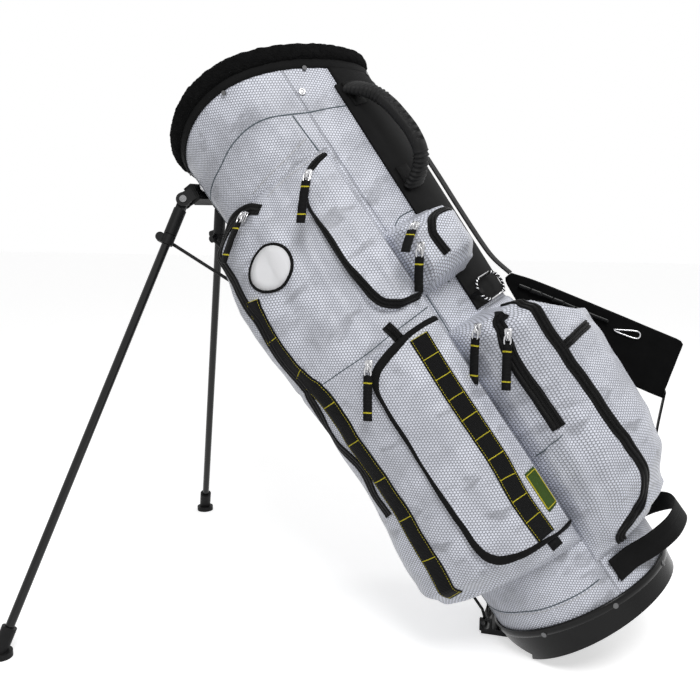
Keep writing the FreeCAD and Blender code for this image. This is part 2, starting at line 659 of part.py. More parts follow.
def make_bracket():
    """Moulded bracket on the collar: two cheeks per leg and the bridge that joins them."""
    members = []
    bridge_low = D.pivot_height - 13
    front = D.pivot_offset - 8
    back = body_radius(D.pivot_height) - 2
    plate = box(BAG.multiply(Placement(Vector(-(front + back) / 2, 0, bridge_low), Rotation())),
                f"{front - back}", "2 * dims.pivot_spread + 2", "26")
    members.append(plate)
    for side in (-1, 1):
        leg = Leg(side)
        inner = D.eye_width / 2 + D.cheek_gap
        toward_bag = leg.axis.cross(Z)
        if toward_bag.x < 0:
            toward_bag = toward_bag * -1
        for end in (-1, 1):
            start = leg.pivot + leg.axis * (inner if end > 0 else -inner - D.cheek)
            place = BAG.multiply(frame_at(start, leg.axis, toward_bag))
            members.append(cylinder(place, "dims.eye_radius + 1", "dims.cheek"))
            web = place.multiply(Placement(Vector(11, 0, 0), Rotation()))
            members.append(box(web, "22", "2 * dims.eye_radius", "dims.cheek"))
    solid = fuse(*members)
    for side in (-1, 1):
        leg = Leg(side)
        slot = BAG.multiply(frame_at(leg.pivot - leg.axis * (D.eye_width / 2 + D.cheek_gap), leg.axis, leg.down))
        solid = cut(solid, cylinder(slot, "dims.eye_radius + 7", "dims.eye_width + 2 * dims.cheek_gap"))
        deep = BAG.multiply(frame_at(leg.pivot - leg.axis * 20, leg.axis, leg.down))
        solid = cut(solid, cylinder(deep, "dims.pivot_pin_radius + dims.play", "40"))
        for share in (0, 0.5, 1):
            path = BAG.multiply(frame_at(leg.pivot, leg.direction(share), leg.axis))
            solid = cut(solid, cylinder(path.multiply(Placement(Vector(0, 0, D.sleeve_top - 1), Rotation())),
                                        "dims.sleeve_radius + 1", "60"))
    solid = cut(solid, cone("dims.collar_foot", "dims.body_top + 60", "dims.seat_gap / 10"))
    keep("stand_bracket", solid)


# ---------------------------------------------------------------- spreaders, yoke, push rod
def make_spreader(name, leg):
    low, high = yoke_pin(leg, 0), leg.lug(0)
    folded = leg.lug(1) - yoke_pin(leg, 1)
    reach = high - low
    axis = reach.cross(folded)
    axis.normalize()
    pin_eye = BAG.multiply(frame_at(low - axis * (D.spreader_eye_width / 2), axis, reach))
    eye = cylinder(pin_eye, "dims.spreader_eye", "dims.spreader_eye_width")
    hole = cylinder(pin_eye, "dims.rod_radius + dims.play", "dims.spreader_eye_width")
    along = BAG.multiply(frame_at(low, reach, axis))
    rod_start = along.multiply(Placement(Vector(0, 0, D.spreader_eye - 1), Rotation()))
    rod = cylinder(rod_start, "dims.spreader_radius", "dims.spreader_length - 2 * dims.spreader_eye + 2")
    far_eye = BAG.multiply(frame_at(high - leg.inward * (D.spreader_eye_width / 2), leg.inward, reach))
    end = cylinder(far_eye, "dims.spreader_eye", "dims.spreader_eye_width")
    keep(f"{name}_spreader", cut(fuse(eye, rod, end), hole))


def spreader_axis(leg):
    """Axis of a spreader's pin on the yoke, pointing away from the bag."""
    axis = (leg.lug(0) - yoke_pin(leg, 0)).cross(leg.lug(1) - yoke_pin(leg, 1))
    axis.normalize()
    return axis if axis.x < 0 else axis * -1


def yoke_middle():
    """Middle of the spreader pins, on the bag's middle plane."""
    return (yoke_pin(Leg(-1), 0) + yoke_pin(Leg(1), 0)) * 0.5


def rod_head():
    """Crossbar of the push rod, in the lower half of the yoke."""
    _, up = yoke_line()
    return yoke_middle() - up * (D.yoke_size * 0.62)


def make_yoke():
    """Block that slides on the leg side and carries a pin for each spreader and the push rod's crossbar."""
    _, up = yoke_line()
    middle = yoke_middle()
    inner = body_radius(middle.z) + D.yoke_gap
    thickness = 2 * (-middle.x - inner) + 6
    width = 2 * (D.yoke_spread - D.spreader_eye_width) - 2
    foot = middle - up * (D.yoke_size * 0.85)
    foot.x = -body_radius(foot.z) - D.yoke_gap - thickness / 2
    block = box(BAG.multiply(frame_at(foot, up, X)), f"{thickness}", f"{width}", "1.3 * dims.yoke_size")
    members = [block]
    for side in (-1, 1):
        leg = Leg(side)
        axis = spreader_axis(leg)
        pin = yoke_pin(leg, 0)
        start = BAG.multiply(frame_at(pin - axis * (D.spreader_eye_width / 2 + 0.6), axis, Z))
        reach = D.yoke_spread / abs(axis.y)
        members.append(cylinder(start, "dims.rod_radius", f"{reach}"))
    bore = cylinder(BAG.multiply(Placement(rod_head() + Y * D.rod_spread, Rotation(X, 90))),
                    "dims.rod_radius + dims.play", "2 * dims.rod_spread")
    keep("slide_yoke", cut(fuse(*members), bore))


def rod_eye():
    """Centre of the pedal's rod eyes, legs deployed, in the bag frame."""
    return TO_BAG.multVec(Vector(PEDAL_PIN.x - D.pedal_reach, 0, D.rod_eye_height))


def make_push_rod():
    """U-shaped wire: crossbar in the yoke, two legs down the body, outward hooks in the pedal's eyes."""
    head, eye = rod_head(), rod_eye()
    slope = (D.top_radius - D.base_radius) / (D.body_top - D.boot_height)
    bend = Vector(head.x + slope * (head.z - D.rod_bend), 0, D.rod_bend)
    stops = [head, bend, eye]
    members = []
    for side in (-1, 1):
        shift = Y * (side * D.rod_spread)
        for low, high in zip(stops, stops[1:]):
            span = high - low
            place = BAG.multiply(frame_at(low + shift, span, Y))
            members.append(cylinder(place, "dims.rod_radius", f"{span.Length}"))
        for stop in stops:
            members.append(primitive("Sphere", BAG.multiply(Placement(stop + shift, Rotation())),
                                     Radius="dims.rod_radius"))
        hook = BAG.multiply(frame_at(eye + shift, Y * side, X))
        members.append(cylinder(hook, "dims.rod_radius", "dims.pedal_width / 2 - dims.rod_spread + 3"))
    crossbar = BAG.multiply(Placement(head + Y * D.rod_spread, Rotation(X, 90)))
    members.append(cylinder(crossbar, "dims.rod_radius", "2 * dims.rod_spread"))
    keep("push_rod", fuse(*members))


# ---------------------------------------------------------------- soft pockets
def blend(stops, place):
    """Smooth interpolation through (place, value) stops."""
    if place <= stops[0][0]:
        return stops[0][1]
    for (low, first), (high, second) in zip(stops, stops[1:]):
        if place <= high:
            share = (place - low) / (high - low)
            share = share * share * (3 - 2 * share)
            return first + (second - first) * share
    return stops[-1][1]


class Bulge:
    """A soft pocket: depth times an outline round the bag times a rise along it, on top of what is under it."""

    def __init__(self, depth, shape, rise, under=None):
        self.depth, self.shape, self.rise, self.under = depth, shape, rise, under

    def offset(self, angle, height):
        below = self.under.offset(angle, height) if self.under else 0.0
        return below + self.depth * blend(self.shape, angle) * blend(self.rise, height)

    def point(self, angle, height, lift=0.0):
        return on_body(angle, height, self.offset(angle, height) + lift)


def bulge_loft(bulge, start, end, low, high, lift=0.0, columns=14, rows=12):
    """Closed solid between the body's inside and the bulge's face, over a window of angle and height."""
    wires = []
    for row in range(rows + 1):
        height = low + (high - low) * row / rows
        outer = []
        for column in range(columns + 1):
            angle = start + (end - start) * column / columns
            outer.append(bulge.point(angle, height, lift))
        curve = Part.BSplineCurve()
        curve.interpolate(outer)
        feet = [on_body(start, height, -12), on_body(end, height, -12)]
        wires.append(Part.Wire([curve.toShape(), Part.makeLine(outer[-1], feet[1]),
                                Part.makeLine(feet[1], feet[0]), Part.makeLine(feet[0], outer[0])]))
    return Part.makeLoft(wires, True, True)


def body_solid(lift):
    """The body's outside, grown by lift, as a cutting shape in the bag frame."""
    low, high = -60.0, D.body_top + 160
    return Part.makeCone(body_radius(low) + lift, body_radius(high) + lift, high - low, Vector(0, 0, low), Z)


def mirrored(bulge, under=None):
    """The same pocket on the other side of the bag."""
    return Bulge(bulge.depth, [(360 - angle, share) for angle, share in reversed(bulge.shape)], bulge.rise, under)


FLANK = Bulge(D.flank_depth, [(24, 0.0), (30, 0.4), (36, 0.86), (44, 1.0), (56, 0.85), (70, 0.45), (84, 0.1), (90, 0.0)],
              [(118, 0.4), (135, 0.58), (180, 0.45), (300, 0.22), (380, 0.3), (450, 0.5), (560, 0.9), (610, 1.0),
               (660, 0.92), (694, 0.5)])
APPAREL = Bulge(D.apparel_depth,
                [(24, 0.0), (32, 0.42), (41, 0.85), (52, 1.0), (74, 1.0), (92, 0.88), (108, 0.62), (119, 0.36)],
                [(118, 0.34), (134, 0.72), (160, 1.06), (230, 1.05), (330, 0.95), (450, 0.78), (560, 0.5),
                 (660, 0.2), (694, 0.03)], under=FLANK)
FAR_APPAREL = mirrored(APPAREL, under=mirrored(FLANK))
BALL = Bulge(D.ball_depth,
             [(120.5, 0.14), (125, 0.36), (131, 0.62), (139, 0.86), (148, 0.99), (158, 1.02), (167, 0.96),
              (175, 0.7), (181, 0.25), (184, 0.0)],
             [(84, 0.04), (92, 0.3), (116, 0.62), (165, 0.9), (215, 1.0), (388, 1.0), (405, 0.8), (415, 0.45),
              (420, 0.15)])
POUCH = Bulge(D.pouch_depth, [(119.2, 0.1), (121, 0.42), (126, 0.88), (133, 1.0), (142, 1.0), (149, 0.8), (154, 0.2)],
              [(474, 0.1), (484, 0.75), (500, 1.0), (540, 0.98), (556, 0.75), (566, 0.15)])
CHEST = Bulge(D.chest_depth, [(94, 0.0), (97, 0.8), (102, 1.0), (113, 1.0), (117.5, 0.75)],
              [(476, 0.1), (484, 0.95), (520, 1.0), (670, 0.95), (686, 0.7), (694, 0.05)], under=APPAREL)
UTILITY = Bulge(D.utility_depth, [(0, 1.0)], [(0, 1.0)], under=APPAREL)


def largest(shape):
    """The main solid of a trimmed soft piece."""
    return max(shape.Solids, key=lambda solid: solid.Volume)


def make_pockets():
    clear = body_solid(D.seat_gap)
    apparel = largest(bulge_loft(APPAREL, 24, 119, 119, 693, rows=16).cut(clear))
    feature("near_apparel_pocket", apparel, BAG)
    feature("far_apparel_pocket", largest(bulge_loft(FAR_APPAREL, 241, 336, 119, 693, rows=16).cut(clear)), BAG)
    ball = bulge_loft(BALL, 120.5, 183.5, 85, D.ball_top - 1, rows=16).cut(clear)
    feature("ball_pocket", largest(ball), BAG)
    board = body_solid(D.spine_board + 2 * D.seat_gap).common(wedge(D.spine_board_edge - 0.3, 40))
    feature("valuables_pouch", largest(bulge_loft(POUCH, 119.4, 153.6, 475, 565).cut(clear).cut(board)), BAG)
    chest = bulge_loft(CHEST, 94.5, 117.5, 477, 693).cut(clear).cut(apparel)
    feature("chest_pocket", largest(chest), BAG)
    utility = largest(bulge_loft(UTILITY, 77, 115, 163, 441, rows=16).cut(apparel).cut(clear))
    feature("utility_pocket", utility, BAG)
    make_webbing(apparel, utility)
    patch = Part.makeCylinder(D.patch_radius, 30, Vector(0, 0, -15), Z)
    patch.Placement = frame_at(APPAREL.point(69, 607), outward(80), Z)
    patch = patch.common(bulge_loft(APPAREL, 24, 119, 560, 660, lift=1.8)).cut(apparel).cut(clear)
    feature("round_patch", largest(patch), BAG)
    label = bulge_loft(UTILITY, 109, 114.6, 194, 244, lift=1.2, rows=4).cut(utility).cut(apparel).cut(clear)
    feature("side_label", largest(label), BAG)


def wedge(start, span):
    """A slice of space round the bag's axis between two angles."""
    slice_ = Part.makeCylinder(3 * D.top_radius, 2 * D.body_top, Vector(0, 0, -D.body_top / 2), Z, span)
    slice_.rotate(Vector(), Z, start + 180)
    return slice_


def make_webbing(apparel, utility):
    """Ladder webbing sewn along the long pocket and along the flat pocket."""
    half = math.degrees(D.webbing_width / 2 / (body_radius(350) + D.apparel_depth))
    for name, bulge, angle, low, high, under in (("side_webbing", APPAREL, 58, 150, 585, apparel),
                                                 ("pocket_webbing", UTILITY, 104, 166, 438, utility)):
        strip = bulge_loft(bulge, angle - half, angle + half, low, high, lift=D.webbing, columns=6, rows=16)
        feature(name, largest(strip.cut(under).cut(apparel).cut(body_solid(D.seat_gap))), BAG)


# ---------------------------------------------------------------- spine side
def make_spine_side():
    span = "360 - 2 * dims.spine_board_edge"
    outer = cone("dims.ball_top + 4", "dims.board_top", "dims.spine_board + dims.seat_gap", span, D.spine_board_edge)
    inner = cone("dims.ball_top + 4", "dims.board_top", "dims.seat_gap")
    keep("spine_strip", cut(outer, inner))
    make_handle()
    make_strap()
    make_grab_strap()


def plate(name, points, thickness, place):
    """A flat solid: a closed outline padded evenly to both sides of its sketch."""
    body = new_body(name)
    sketch = sketch_on(body, "XZ_Plane", f"{name}_outline")
    outline(sketch, points)
    pad(body, sketch, thickness, midplane=True)
    body.Placement = place
    return body


def plate_body(name, points, thickness, place):
    """A flat piece of its own."""
    return keep(name, plate(name, points, thickness, place))


def make_handle():
    """Moulded grip that stands on the spine strip, and the two tabs that hold its ends."""
    seat = D.spine_board + 2 * D.seat_gap + 2.4
    rise, grip = D.handle_rise, D.handle_grip
    low, high = D.handle_foot, D.handle_head
    outer = [(seat, low), (0.42 * rise, low + 3), (0.82 * rise, low + 20), (rise, low + 48), (0.9 * rise, high - 50),
             (0.6 * rise, high - 16), (seat, high)]
    inner = [(seat, high - 24), (0.75 * rise - grip * 0.7, high - 42), (rise - grip, low + 58),
             (0.82 * rise - grip, low + 36), (seat, low + 22)]
    points = [(body_radius(height) + offset, height) for offset, height in outer + inner]
    place = BAG.multiply(Placement(Vector(0, 0, 0), Rotation(Z, D.handle_angle + 180)))
    plate_body("carry_handle", points, "dims.handle_width", place)
    tabs = []
    for name, middle in (("head_tab", high - 12), ("foot_tab", low + 11)):
        base = D.spine_board + 2 * D.seat_gap
        tab = [(body_radius(middle - 17) + base, middle - 17), (body_radius(middle - 17) + base + 2.2, middle - 17),
               (body_radius(middle + 17) + base + 2.2, middle + 17), (body_radius(middle + 17) + base, middle + 17)]
        tabs.append(plate(name, tab, "dims.handle_width - 4", place))
    keep("handle_tabs", group(*tabs))


def make_strap():
    """Shoulder pad that hangs behind the bag, its webbing and its two metal fittings."""
    side = BAG.multiply(Placement(Vector(0, D.strap_side, 0), Rotation()))
    outer = [(150, 440), (174, 409), (220, 341), (276, 256), (283, 244), (280, 236)]
    inner = [(230, 196), (222, 194), (178, 262), (150, 306), (136, 352), (134, 400), (138, 436)]
    plate_body("strap_pad", outer + inner, "dims.strap_pad", side)
    edge = D.strap_side - D.strap_webbing_width / 2

    def back(height):
        """Strip or fabric under the webbing's inner edge."""
        return math.sqrt((body_radius(height) + D.spine_board + 2 * D.seat_gap) ** 2 - edge ** 2)

    head = [(back(640) + 0.2, 640), (back(616) + 0.4, 616), (back(560) + 7, 560), (back(470) + 5, 470), (146.6, 441),
            (149, 440.5), (back(470) + 8, 470), (back(560) + 10, 560), (back(616) + 3, 616), (back(640) + 2.6, 640)]
    plate_body("strap_upper_webbing", head, "dims.strap_webbing_width", side)
    rear = math.sqrt(body_radius(96) ** 2 - (D.strap_side - 1) ** 2) + D.seat_gap
    tail = [(236, 199.4), (rear + 14, 86), (rear, 86), (rear, 110), (224, 190.4)]
    plate_body("strap_lower_webbing", tail, "dims.webbing", side)
    lock_place = BAG.multiply(Placement(Vector(0, D.strap_side - D.strap_pad / 2 - 2.6, 0), Rotation()))
    along = Vector(220 - 174, 341 - 409, 0)
    along.normalize()
    across = Vector(-along.y, along.x, 0) * -1

    def frame_points(centre, length, width):
        corners = ((-1, -1), (1, -1), (1, 1), (-1, 1))
        return [(centre[0] + along.x * a * length / 2 + across.x * b * width / 2,
                 centre[1] + along.y * a * length / 2 + across.y * b * width / 2) for a, b in corners]

    for name, centre, length, width in (("ladder_lock", (183, 369), 34, 24), ("strap_buckle", (232, 290), 22, 30)):
        body = new_body(name)
        sketch = sketch_on(body, "XZ_Plane", f"{name}_outline")
        outline(sketch, frame_points(centre, length, width))
        pad(body, sketch, "4.6", midplane=True)
        slot = sketch_on(body, "XZ_Plane", f"{name}_slot")
        outline(slot, frame_points(centre, length - 12, width - 9))
        pocket_through(body, slot)
        keep(name, body, lock_place)


def make_grab_strap():
    """Strap sewn at both ends to the body above the boot; its middle stands off as a hand loop."""
    low = 62.0
    height = D.grab_width
    place = Placement(Vector(0, 0, low - height / 2), Rotation())
    stops = [(128, 0.5), (134, 0.5), (140, 3.5), (150, 24), (163, 40), (180, 45), (197, 40), (210, 24), (220, 3.5),
             (226, 0.5), (232, 0.5)]
    lane = [around(angle, body_radius(low) + 0.5 + offset) for angle, offset in stops]
    outer = [around(angle, body_radius(low) + 2.9 + offset) for angle, offset in stops]
    inner_curve, outer_curve = Part.BSplineCurve(), Part.BSplineCurve()
    inner_curve.interpolate(lane)
    outer_curve.interpolate(outer)
    wire = Part.Wire([inner_curve.toShape(), Part.makeLine(lane[-1], outer[-1]), outer_curve.toShape(),
                      Part.makeLine(outer[0], lane[0])])
    solid = Part.Face(wire).extrude(Z * height)
    feature("grab_strap", solid, BAG.multiply(place))


# ---------------------------------------------------------------- clip, zip sliders and pullers
def clip_frame():
    """Lies flat on the spine strip: Z out of the bag, X round the bag, origin at the clip's middle."""
    angle, height = 158.0, D.ball_top + D.clip_radius + 6
    lift = D.spine_board + 2 * D.seat_gap + 2.2 * D.ring_wire + 2.5
    round_bag = outward(angle + 90)
    return frame_at(on_body(angle, height, lift), outward(angle), round_bag)


def make_clip():
    """Oval spring clip for a towel, and the webbing loop that carries it by its near end."""
    place = clip_frame()
    half, radius = D.clip_length / 2, D.clip_radius
    path = Part.Wire([
        Part.makeLine(Vector(-half, -radius, 0), Vector(half, -radius, 0)),
        Part.Arc(Vector(half, -radius, 0), Vector(half + radius, 0, 0), Vector(half, radius, 0)).toShape(),
        Part.makeLine(Vector(half, radius, 0), Vector(-half, radius, 0)),
        Part.Arc(Vector(-half, radius, 0), Vector(-half - radius, 0, 0), Vector(-half, -radius, 0)).toShape(),
    ])
    ring_profile = Part.Wire([Part.makeCircle(D.ring_wire, Vector(-half, -radius, 0), X)])
    feature("towel_clip", path.makePipeShell([ring_profile], True, True), BAG.multiply(place))
    depth = 3.2 * D.ring_wire + 9
    block = box(BAG.multiply(place.multiply(Placement(Vector(-half - radius, 0, -depth + 2 * D.ring_wire), Rotation()))),
                "4.4 * dims.ring_wire", "3 * dims.ring_wire", f"{depth}")
    hole_at = place.multiply(Placement(Vector(-half - radius, D.clip_radius, 0), Rotation(X, 90)))
    hole = cylinder(BAG.multiply(hole_at), "dims.ring_wire + 0.7", "2 * dims.clip_radius")
    skin = cone("dims.divider_foot", "dims.body_top", "dims.spine_board + 2 * dims.seat_gap")
    keep("clip_loop", cut(cut(block, hole), skin))


def down_direction():
    return TO_BAG.Rotation.multVec(Z * -1)


PULLERS = [
    # name, angle and height of the slider, pocket that carries it, lift off the pocket's face
    ("apparel_pull", 67, 680, APPAREL, 2.2),
    ("chest_pull", 104, 672, CHEST, 0.1),
    ("pouch_pull_a", 127.0, 544, POUCH, 1.3),
    ("pouch_pull_b", 125.4, 522, POUCH, -0.6),
    ("utility_pull", 84, 438, UTILITY, 0.6),
    ("ball_pull_a", 133, 380, BALL, 1.6),
    ("ball_pull_b", 128, 404, BALL, 4.3),
]


def puller_frame(angle, height, bulge, lift):
    """Seat of a slider on its pocket: Z out of the fabric, X hanging down."""
    seat = bulge.point(angle, height, lift)
    step = 0.5
    round_bag = bulge.point(angle + step, height, lift) - bulge.point(angle - step, height, lift)
    up_bag = bulge.point(angle, height + 2, lift) - bulge.point(angle, height - 2, lift)
    normal = up_bag.cross(round_bag)
    normal.normalize()
    if normal.dot(outward(angle)) < 0:
        normal = normal * -1
    return seat, normal


def hanging(normal):
    """How a puller rests: straight down, or along the fabric where that faces up; and its outward side."""
    down = down_direction()
    if normal.dot(down) < 0:
        down = down - normal * normal.dot(down)
        down.normalize()
    flat = normal - down * normal.dot(down)
    flat.normalize()
    return down, flat


def make_pullers():
    """Zip sliders that stay where the zip is closed, one node, and a webbing puller hinged on each."""
    sliders = []
    for name, angle, height, bulge, lift in PULLERS:
        seat, normal = puller_frame(angle, height, bulge, lift)
        down, flat = hanging(normal)
        slider_place = BAG.multiply(frame_at(seat + normal * 0.4, normal, down))
        slider = box(slider_place, "dims.slider_length", "dims.slider_width", "dims.slider_height")
        hinge_point = seat + normal * (D.slider_height + 0.4 + D.pull_eye + 0.2)
        hinge_axis = down.cross(flat)
        pin_place = BAG.multiply(frame_at(hinge_point - hinge_axis * (D.pull_width / 2 + 2), hinge_axis, down))
        pin = cylinder(pin_place, "dims.pull_pin", "dims.pull_width + 4")
        cheeks = []
        for end in (-1, 1):
            middle = hinge_point + hinge_axis * (end * (D.pull_width / 2 + 1.2))
            base = seat + normal * (D.slider_height - 1.0)
            middle_low = middle - normal * (middle - base).dot(normal)
            rise = (middle - middle_low).Length + D.pull_pin + 0.4
            cheeks.append(box(BAG.multiply(frame_at(middle_low, normal, hinge_axis)), "1.2", "3.4", f"{rise}"))
        whole = fuse(slider, pin, *cheeks)
        if name == "ball_pull_a":
            keep("ball_zip_slider", whole)
        else:
            sliders.append(whole)
        eye_place = BAG.multiply(frame_at(hinge_point - hinge_axis * (D.pull_width / 2), hinge_axis, down))
        eye = cylinder(eye_place, "dims.pull_eye - 0.4", "dims.pull_width")
        hole = cylinder(eye_place, "dims.pull_pin + dims.play", "dims.pull_width")
        tab_place = BAG.multiply(frame_at(hinge_point + down * (D.pull_eye - 1.2), down, flat))
        tab = box(tab_place, "dims.pull_thickness", "dims.pull_width", "dims.pull_length")
        keep(name, cut(fuse(eye, tab), hole))
    keep("zip_sliders", group(*sliders))


def check_and_write():
    """Stops on any failed object, then writes one file per node."""
    doc.recompute()
    for obj in doc.Objects:
        if "Invalid" in obj.State or "Error" in obj.State:
            raise RuntimeError(f"{obj.Label} did not build: {obj.State}")
    os.makedirs("parts", exist_ok=True)
    for name, obj in nodes.items():
        shape = obj.Shape
        if shape.isNull() or not shape.isValid() or not shape.Solids:
            raise RuntimeError(f"{name} is not a valid solid")
        shape.exportStep(f"parts/{name}.step")
    print(len(nodes), "nodes written")


make_boot()
make_pedal()
make_body()
make_mouth()
make_legs()
make_bracket()
make_yoke()
make_push_rod()
make_pockets()
make_spine_side()
make_clip()
make_pullers()
check_and_write()
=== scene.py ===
"""Golf stand bag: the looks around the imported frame.

Places are given in the bag frame, in millimetres: s runs up the bag's axis from the boot's underside, the angle
round the bag starts at the leg side (0), near side 90, spine 180, far side 270, and a lift stands off the fabric.
"""
import json
import math
import bmesh
import bpy
from mathutils import Matrix, Vector, noise


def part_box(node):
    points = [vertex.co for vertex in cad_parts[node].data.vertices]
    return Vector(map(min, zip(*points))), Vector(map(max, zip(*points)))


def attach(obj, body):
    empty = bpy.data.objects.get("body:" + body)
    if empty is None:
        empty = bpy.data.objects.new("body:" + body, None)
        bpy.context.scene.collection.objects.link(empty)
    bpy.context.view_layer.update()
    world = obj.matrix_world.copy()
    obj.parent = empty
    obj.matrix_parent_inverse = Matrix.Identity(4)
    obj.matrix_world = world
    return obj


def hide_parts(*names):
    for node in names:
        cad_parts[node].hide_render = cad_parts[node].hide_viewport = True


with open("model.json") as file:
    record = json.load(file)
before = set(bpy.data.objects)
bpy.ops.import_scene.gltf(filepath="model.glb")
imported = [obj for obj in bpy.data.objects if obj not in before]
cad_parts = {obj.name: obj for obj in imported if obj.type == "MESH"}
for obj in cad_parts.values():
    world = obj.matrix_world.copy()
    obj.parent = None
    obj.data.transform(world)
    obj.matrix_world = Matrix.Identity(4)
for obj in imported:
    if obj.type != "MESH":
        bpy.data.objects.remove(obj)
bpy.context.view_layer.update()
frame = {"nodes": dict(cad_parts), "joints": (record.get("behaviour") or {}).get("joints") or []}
NODES = frame["nodes"]

# ------------------------------------------------------------------ driving sizes, mm
MM = 0.001
LEAN = 35.0
BAG_ORIGIN = (110.0854, 0.0, 49.6747)
BASE_RADIUS, TOP_RADIUS, BOOT_HEIGHT, BODY_TOP = 122.0, 140.0, 40.0, 800.0
BOOT_RADIUS, BOOT_FOOT, RIM_TILT = 125.5, 121.0, 4.6
MOUTH_LOW, MOUTH_ARC, MOUTH_TILT = 787.5, 265.0, 5.1
FRONT_SEAM, BACK_SEAM = 28.0, 122.0
SKIN = 3.0
BINDING, CUFF_TOP, CUFF_OUTER, CUFF_INNER = 10.0, 32.0, 149.0, 127.0
APPAREL_DEPTH, FLANK_DEPTH, BALL_DEPTH, POUCH_DEPTH, CHEST_DEPTH, UTILITY_DEPTH = 60.0, 44.0, 96.0, 58.0, 11.0, 7.0
WEBBING = 25.0
ZIP_TAPE, NEAR_ZIP_TAPE, NEAR_ZIP_SHIFT = 13.0, 15.0, 2.0
MESH_PITCH = 3.7
PULL_LENGTH, PULL_HALF_WIDTH = 56.0, 5.6
SHORT_PULLS = {"pouch_pull_a": 34.0, "pouch_pull_b": 42.0}
FLOOR_GLOW, WORLD_SEEN, WORLD_LIGHT = 0.56, 0.58, 0.42
CAMERA_TARGET = (-239.9, 0.0, 383.8)
CAMERA_AZIMUTH, CAMERA_ELEVATION, CAMERA_DISTANCE = 17.6, 9.4, 1200.0
CAMERA_LENS = 43.1

BAG = Matrix.Translation([v * MM for v in BAG_ORIGIN]) @ Matrix.Rotation(math.radians(-LEAN), 4, "Y")


def body_radius(s):
    return BASE_RADIUS + (TOP_RADIUS - BASE_RADIUS) * (s - BOOT_HEIGHT) / (BODY_TOP - BOOT_HEIGHT)


def outward(angle):
    turn = math.radians(angle)
    return Vector((-math.cos(turn), -math.sin(turn), 0))


def polar(angle, radius, s):
    return outward(angle) * radius + Vector((0, 0, s))


def to_world(point):
    return BAG @ (point * MM)


def mouth_height(angle, level=0.0):
    """Height of the mouth's saddle-shaped edge at an angle, raised by level."""
    x, y, _ = polar(angle, body_radius(MOUTH_LOW), 0)
    return (MOUTH_LOW + level - x * math.tan(math.radians(MOUTH_TILT))
            + MOUTH_ARC - math.sqrt(MOUTH_ARC ** 2 - y * y))


def rim_height(angle):
    return BOOT_HEIGHT + BOOT_RADIUS * math.cos(math.radians(angle)) * math.tan(math.radians(RIM_TILT))


def smooth(share):
    share = min(1.0, max(0.0, share))
    return share * share * (3 - 2 * share)


def stops_value(stops, place):
    """Smooth interpolation through (place, value) stops."""
    if place <= stops[0][0]:
        return stops[0][1]
    for (low, first), (high, second) in zip(stops, stops[1:]):
        if place <= high:
            return first + (second - first) * smooth((place - low) / (high - low))
    return stops[-1][1]


# ------------------------------------------------------------------ fabric surfaces
def crumple(angle, s, seed, coarse=70.0, fine=24.0):
    """Soft folds of the fabric, about -1 to 1, longer along the bag's slope than across it."""
    arc = math.radians(angle) * 140.0
    along, across = s + 0.5 * arc, arc - 0.5 * s
    broad = noise.noise(Vector((along / coarse, across / (coarse * 0.7), seed)))
    small = noise.noise(Vector((along / fine, across / (fine * 1.6), seed + 7.3)))
    return broad + 0.45 * small


def corner_share(angle, s, left, low, high, low_corner, high_corner, soft=5.0):
    """1 inside a flap whose left edge has two rounded corners, 0 outside it, soft across its edge in mm."""
    across, below, above = (angle - left) * 3.1, s - low, high - s
    reach = min(across, below, above)
    for along, corner in ((below, low_corner), (above, high_corner)):
        if across < corner and along < corner:
            reach = min(reach, corner - math.hypot(corner - across, corner - along))
    return smooth(reach / soft + 0.5)


class Surface:
    """The bag's fabric with whatever lies on it: offset(angle, s) above the body's cone, in mm."""

    def __init__(self, offset):
        self.offset = offset

    def point(self, angle, s, lift=0.0):
        return polar(angle, body_radius(s) + self.offset(angle, s) + lift, s)

    def normal(self, angle, s):
        round_bag = self.point(angle + 0.8, s) - self.point(angle - 0.8, s)
        up_bag = self.point(angle, s + 2.5) - self.point(angle, s - 2.5)
        out = up_bag.cross(round_bag).normalized()
        return out if out.dot(outward(angle)) > 0 else -out

    def drape(self, point, lift, normal):
        """The point moved radially on to the surface and raised along a normal."""
        angle = math.degrees(math.atan2(-point.y, -point.x)) % 360
        return self.point(angle, point.z) + normal * lift


APPAREL_SHAPE = [(24, 0.0), (32, 0.42), (41, 0.85), (52, 1.0), (74, 1.0), (92, 0.88), (108, 0.62), (119, 0.36)]
APPAREL_RISE = [(118, 0.34), (134, 0.72), (160, 1.06), (230, 1.05), (330, 0.95), (450, 0.78), (560, 0.5),
                (660, 0.2), (694, 0.03)]
FLANK_SHAPE = [(24, 0.0), (30, 0.4), (36, 0.86), (44, 1.0), (56, 0.85), (70, 0.45), (84, 0.1), (90, 0.0)]
FLANK_RISE = [(118, 0.4), (135, 0.58), (180, 0.45), (300, 0.22), (380, 0.3), (450, 0.5), (560, 0.9), (610, 1.0),
              (660, 0.92), (694, 0.5)]
BALL_SHAPE = [(120.5, 0.14), (125, 0.36), (131, 0.62), (139, 0.86), (148, 0.99), (158, 1.02), (167, 0.96),
              (175, 0.7), (181, 0.25), (184, 0.0)]
BALL_RISE = [(84, 0.04), (92, 0.3), (116, 0.62), (165, 0.9), (215, 1.0), (388, 1.0), (405, 0.8), (415, 0.45),
             (420, 0.15)]
POUCH_SHAPE = [(119.2, 0.1), (121, 0.42), (126, 0.88), (133, 1.0), (142, 1.0), (149, 0.8), (154, 0.2)]
POUCH_RISE = [(474, 0.1), (484, 0.75), (500, 1.0), (540, 0.98), (556, 0.75), (566, 0.15)]


def groove(distance, width, depth):
    return -depth * math.exp(-(distance / width) ** 2)


def body_offset(angle, s):
    return 0.9 * crumple(angle, s, 1.0) - 0.4


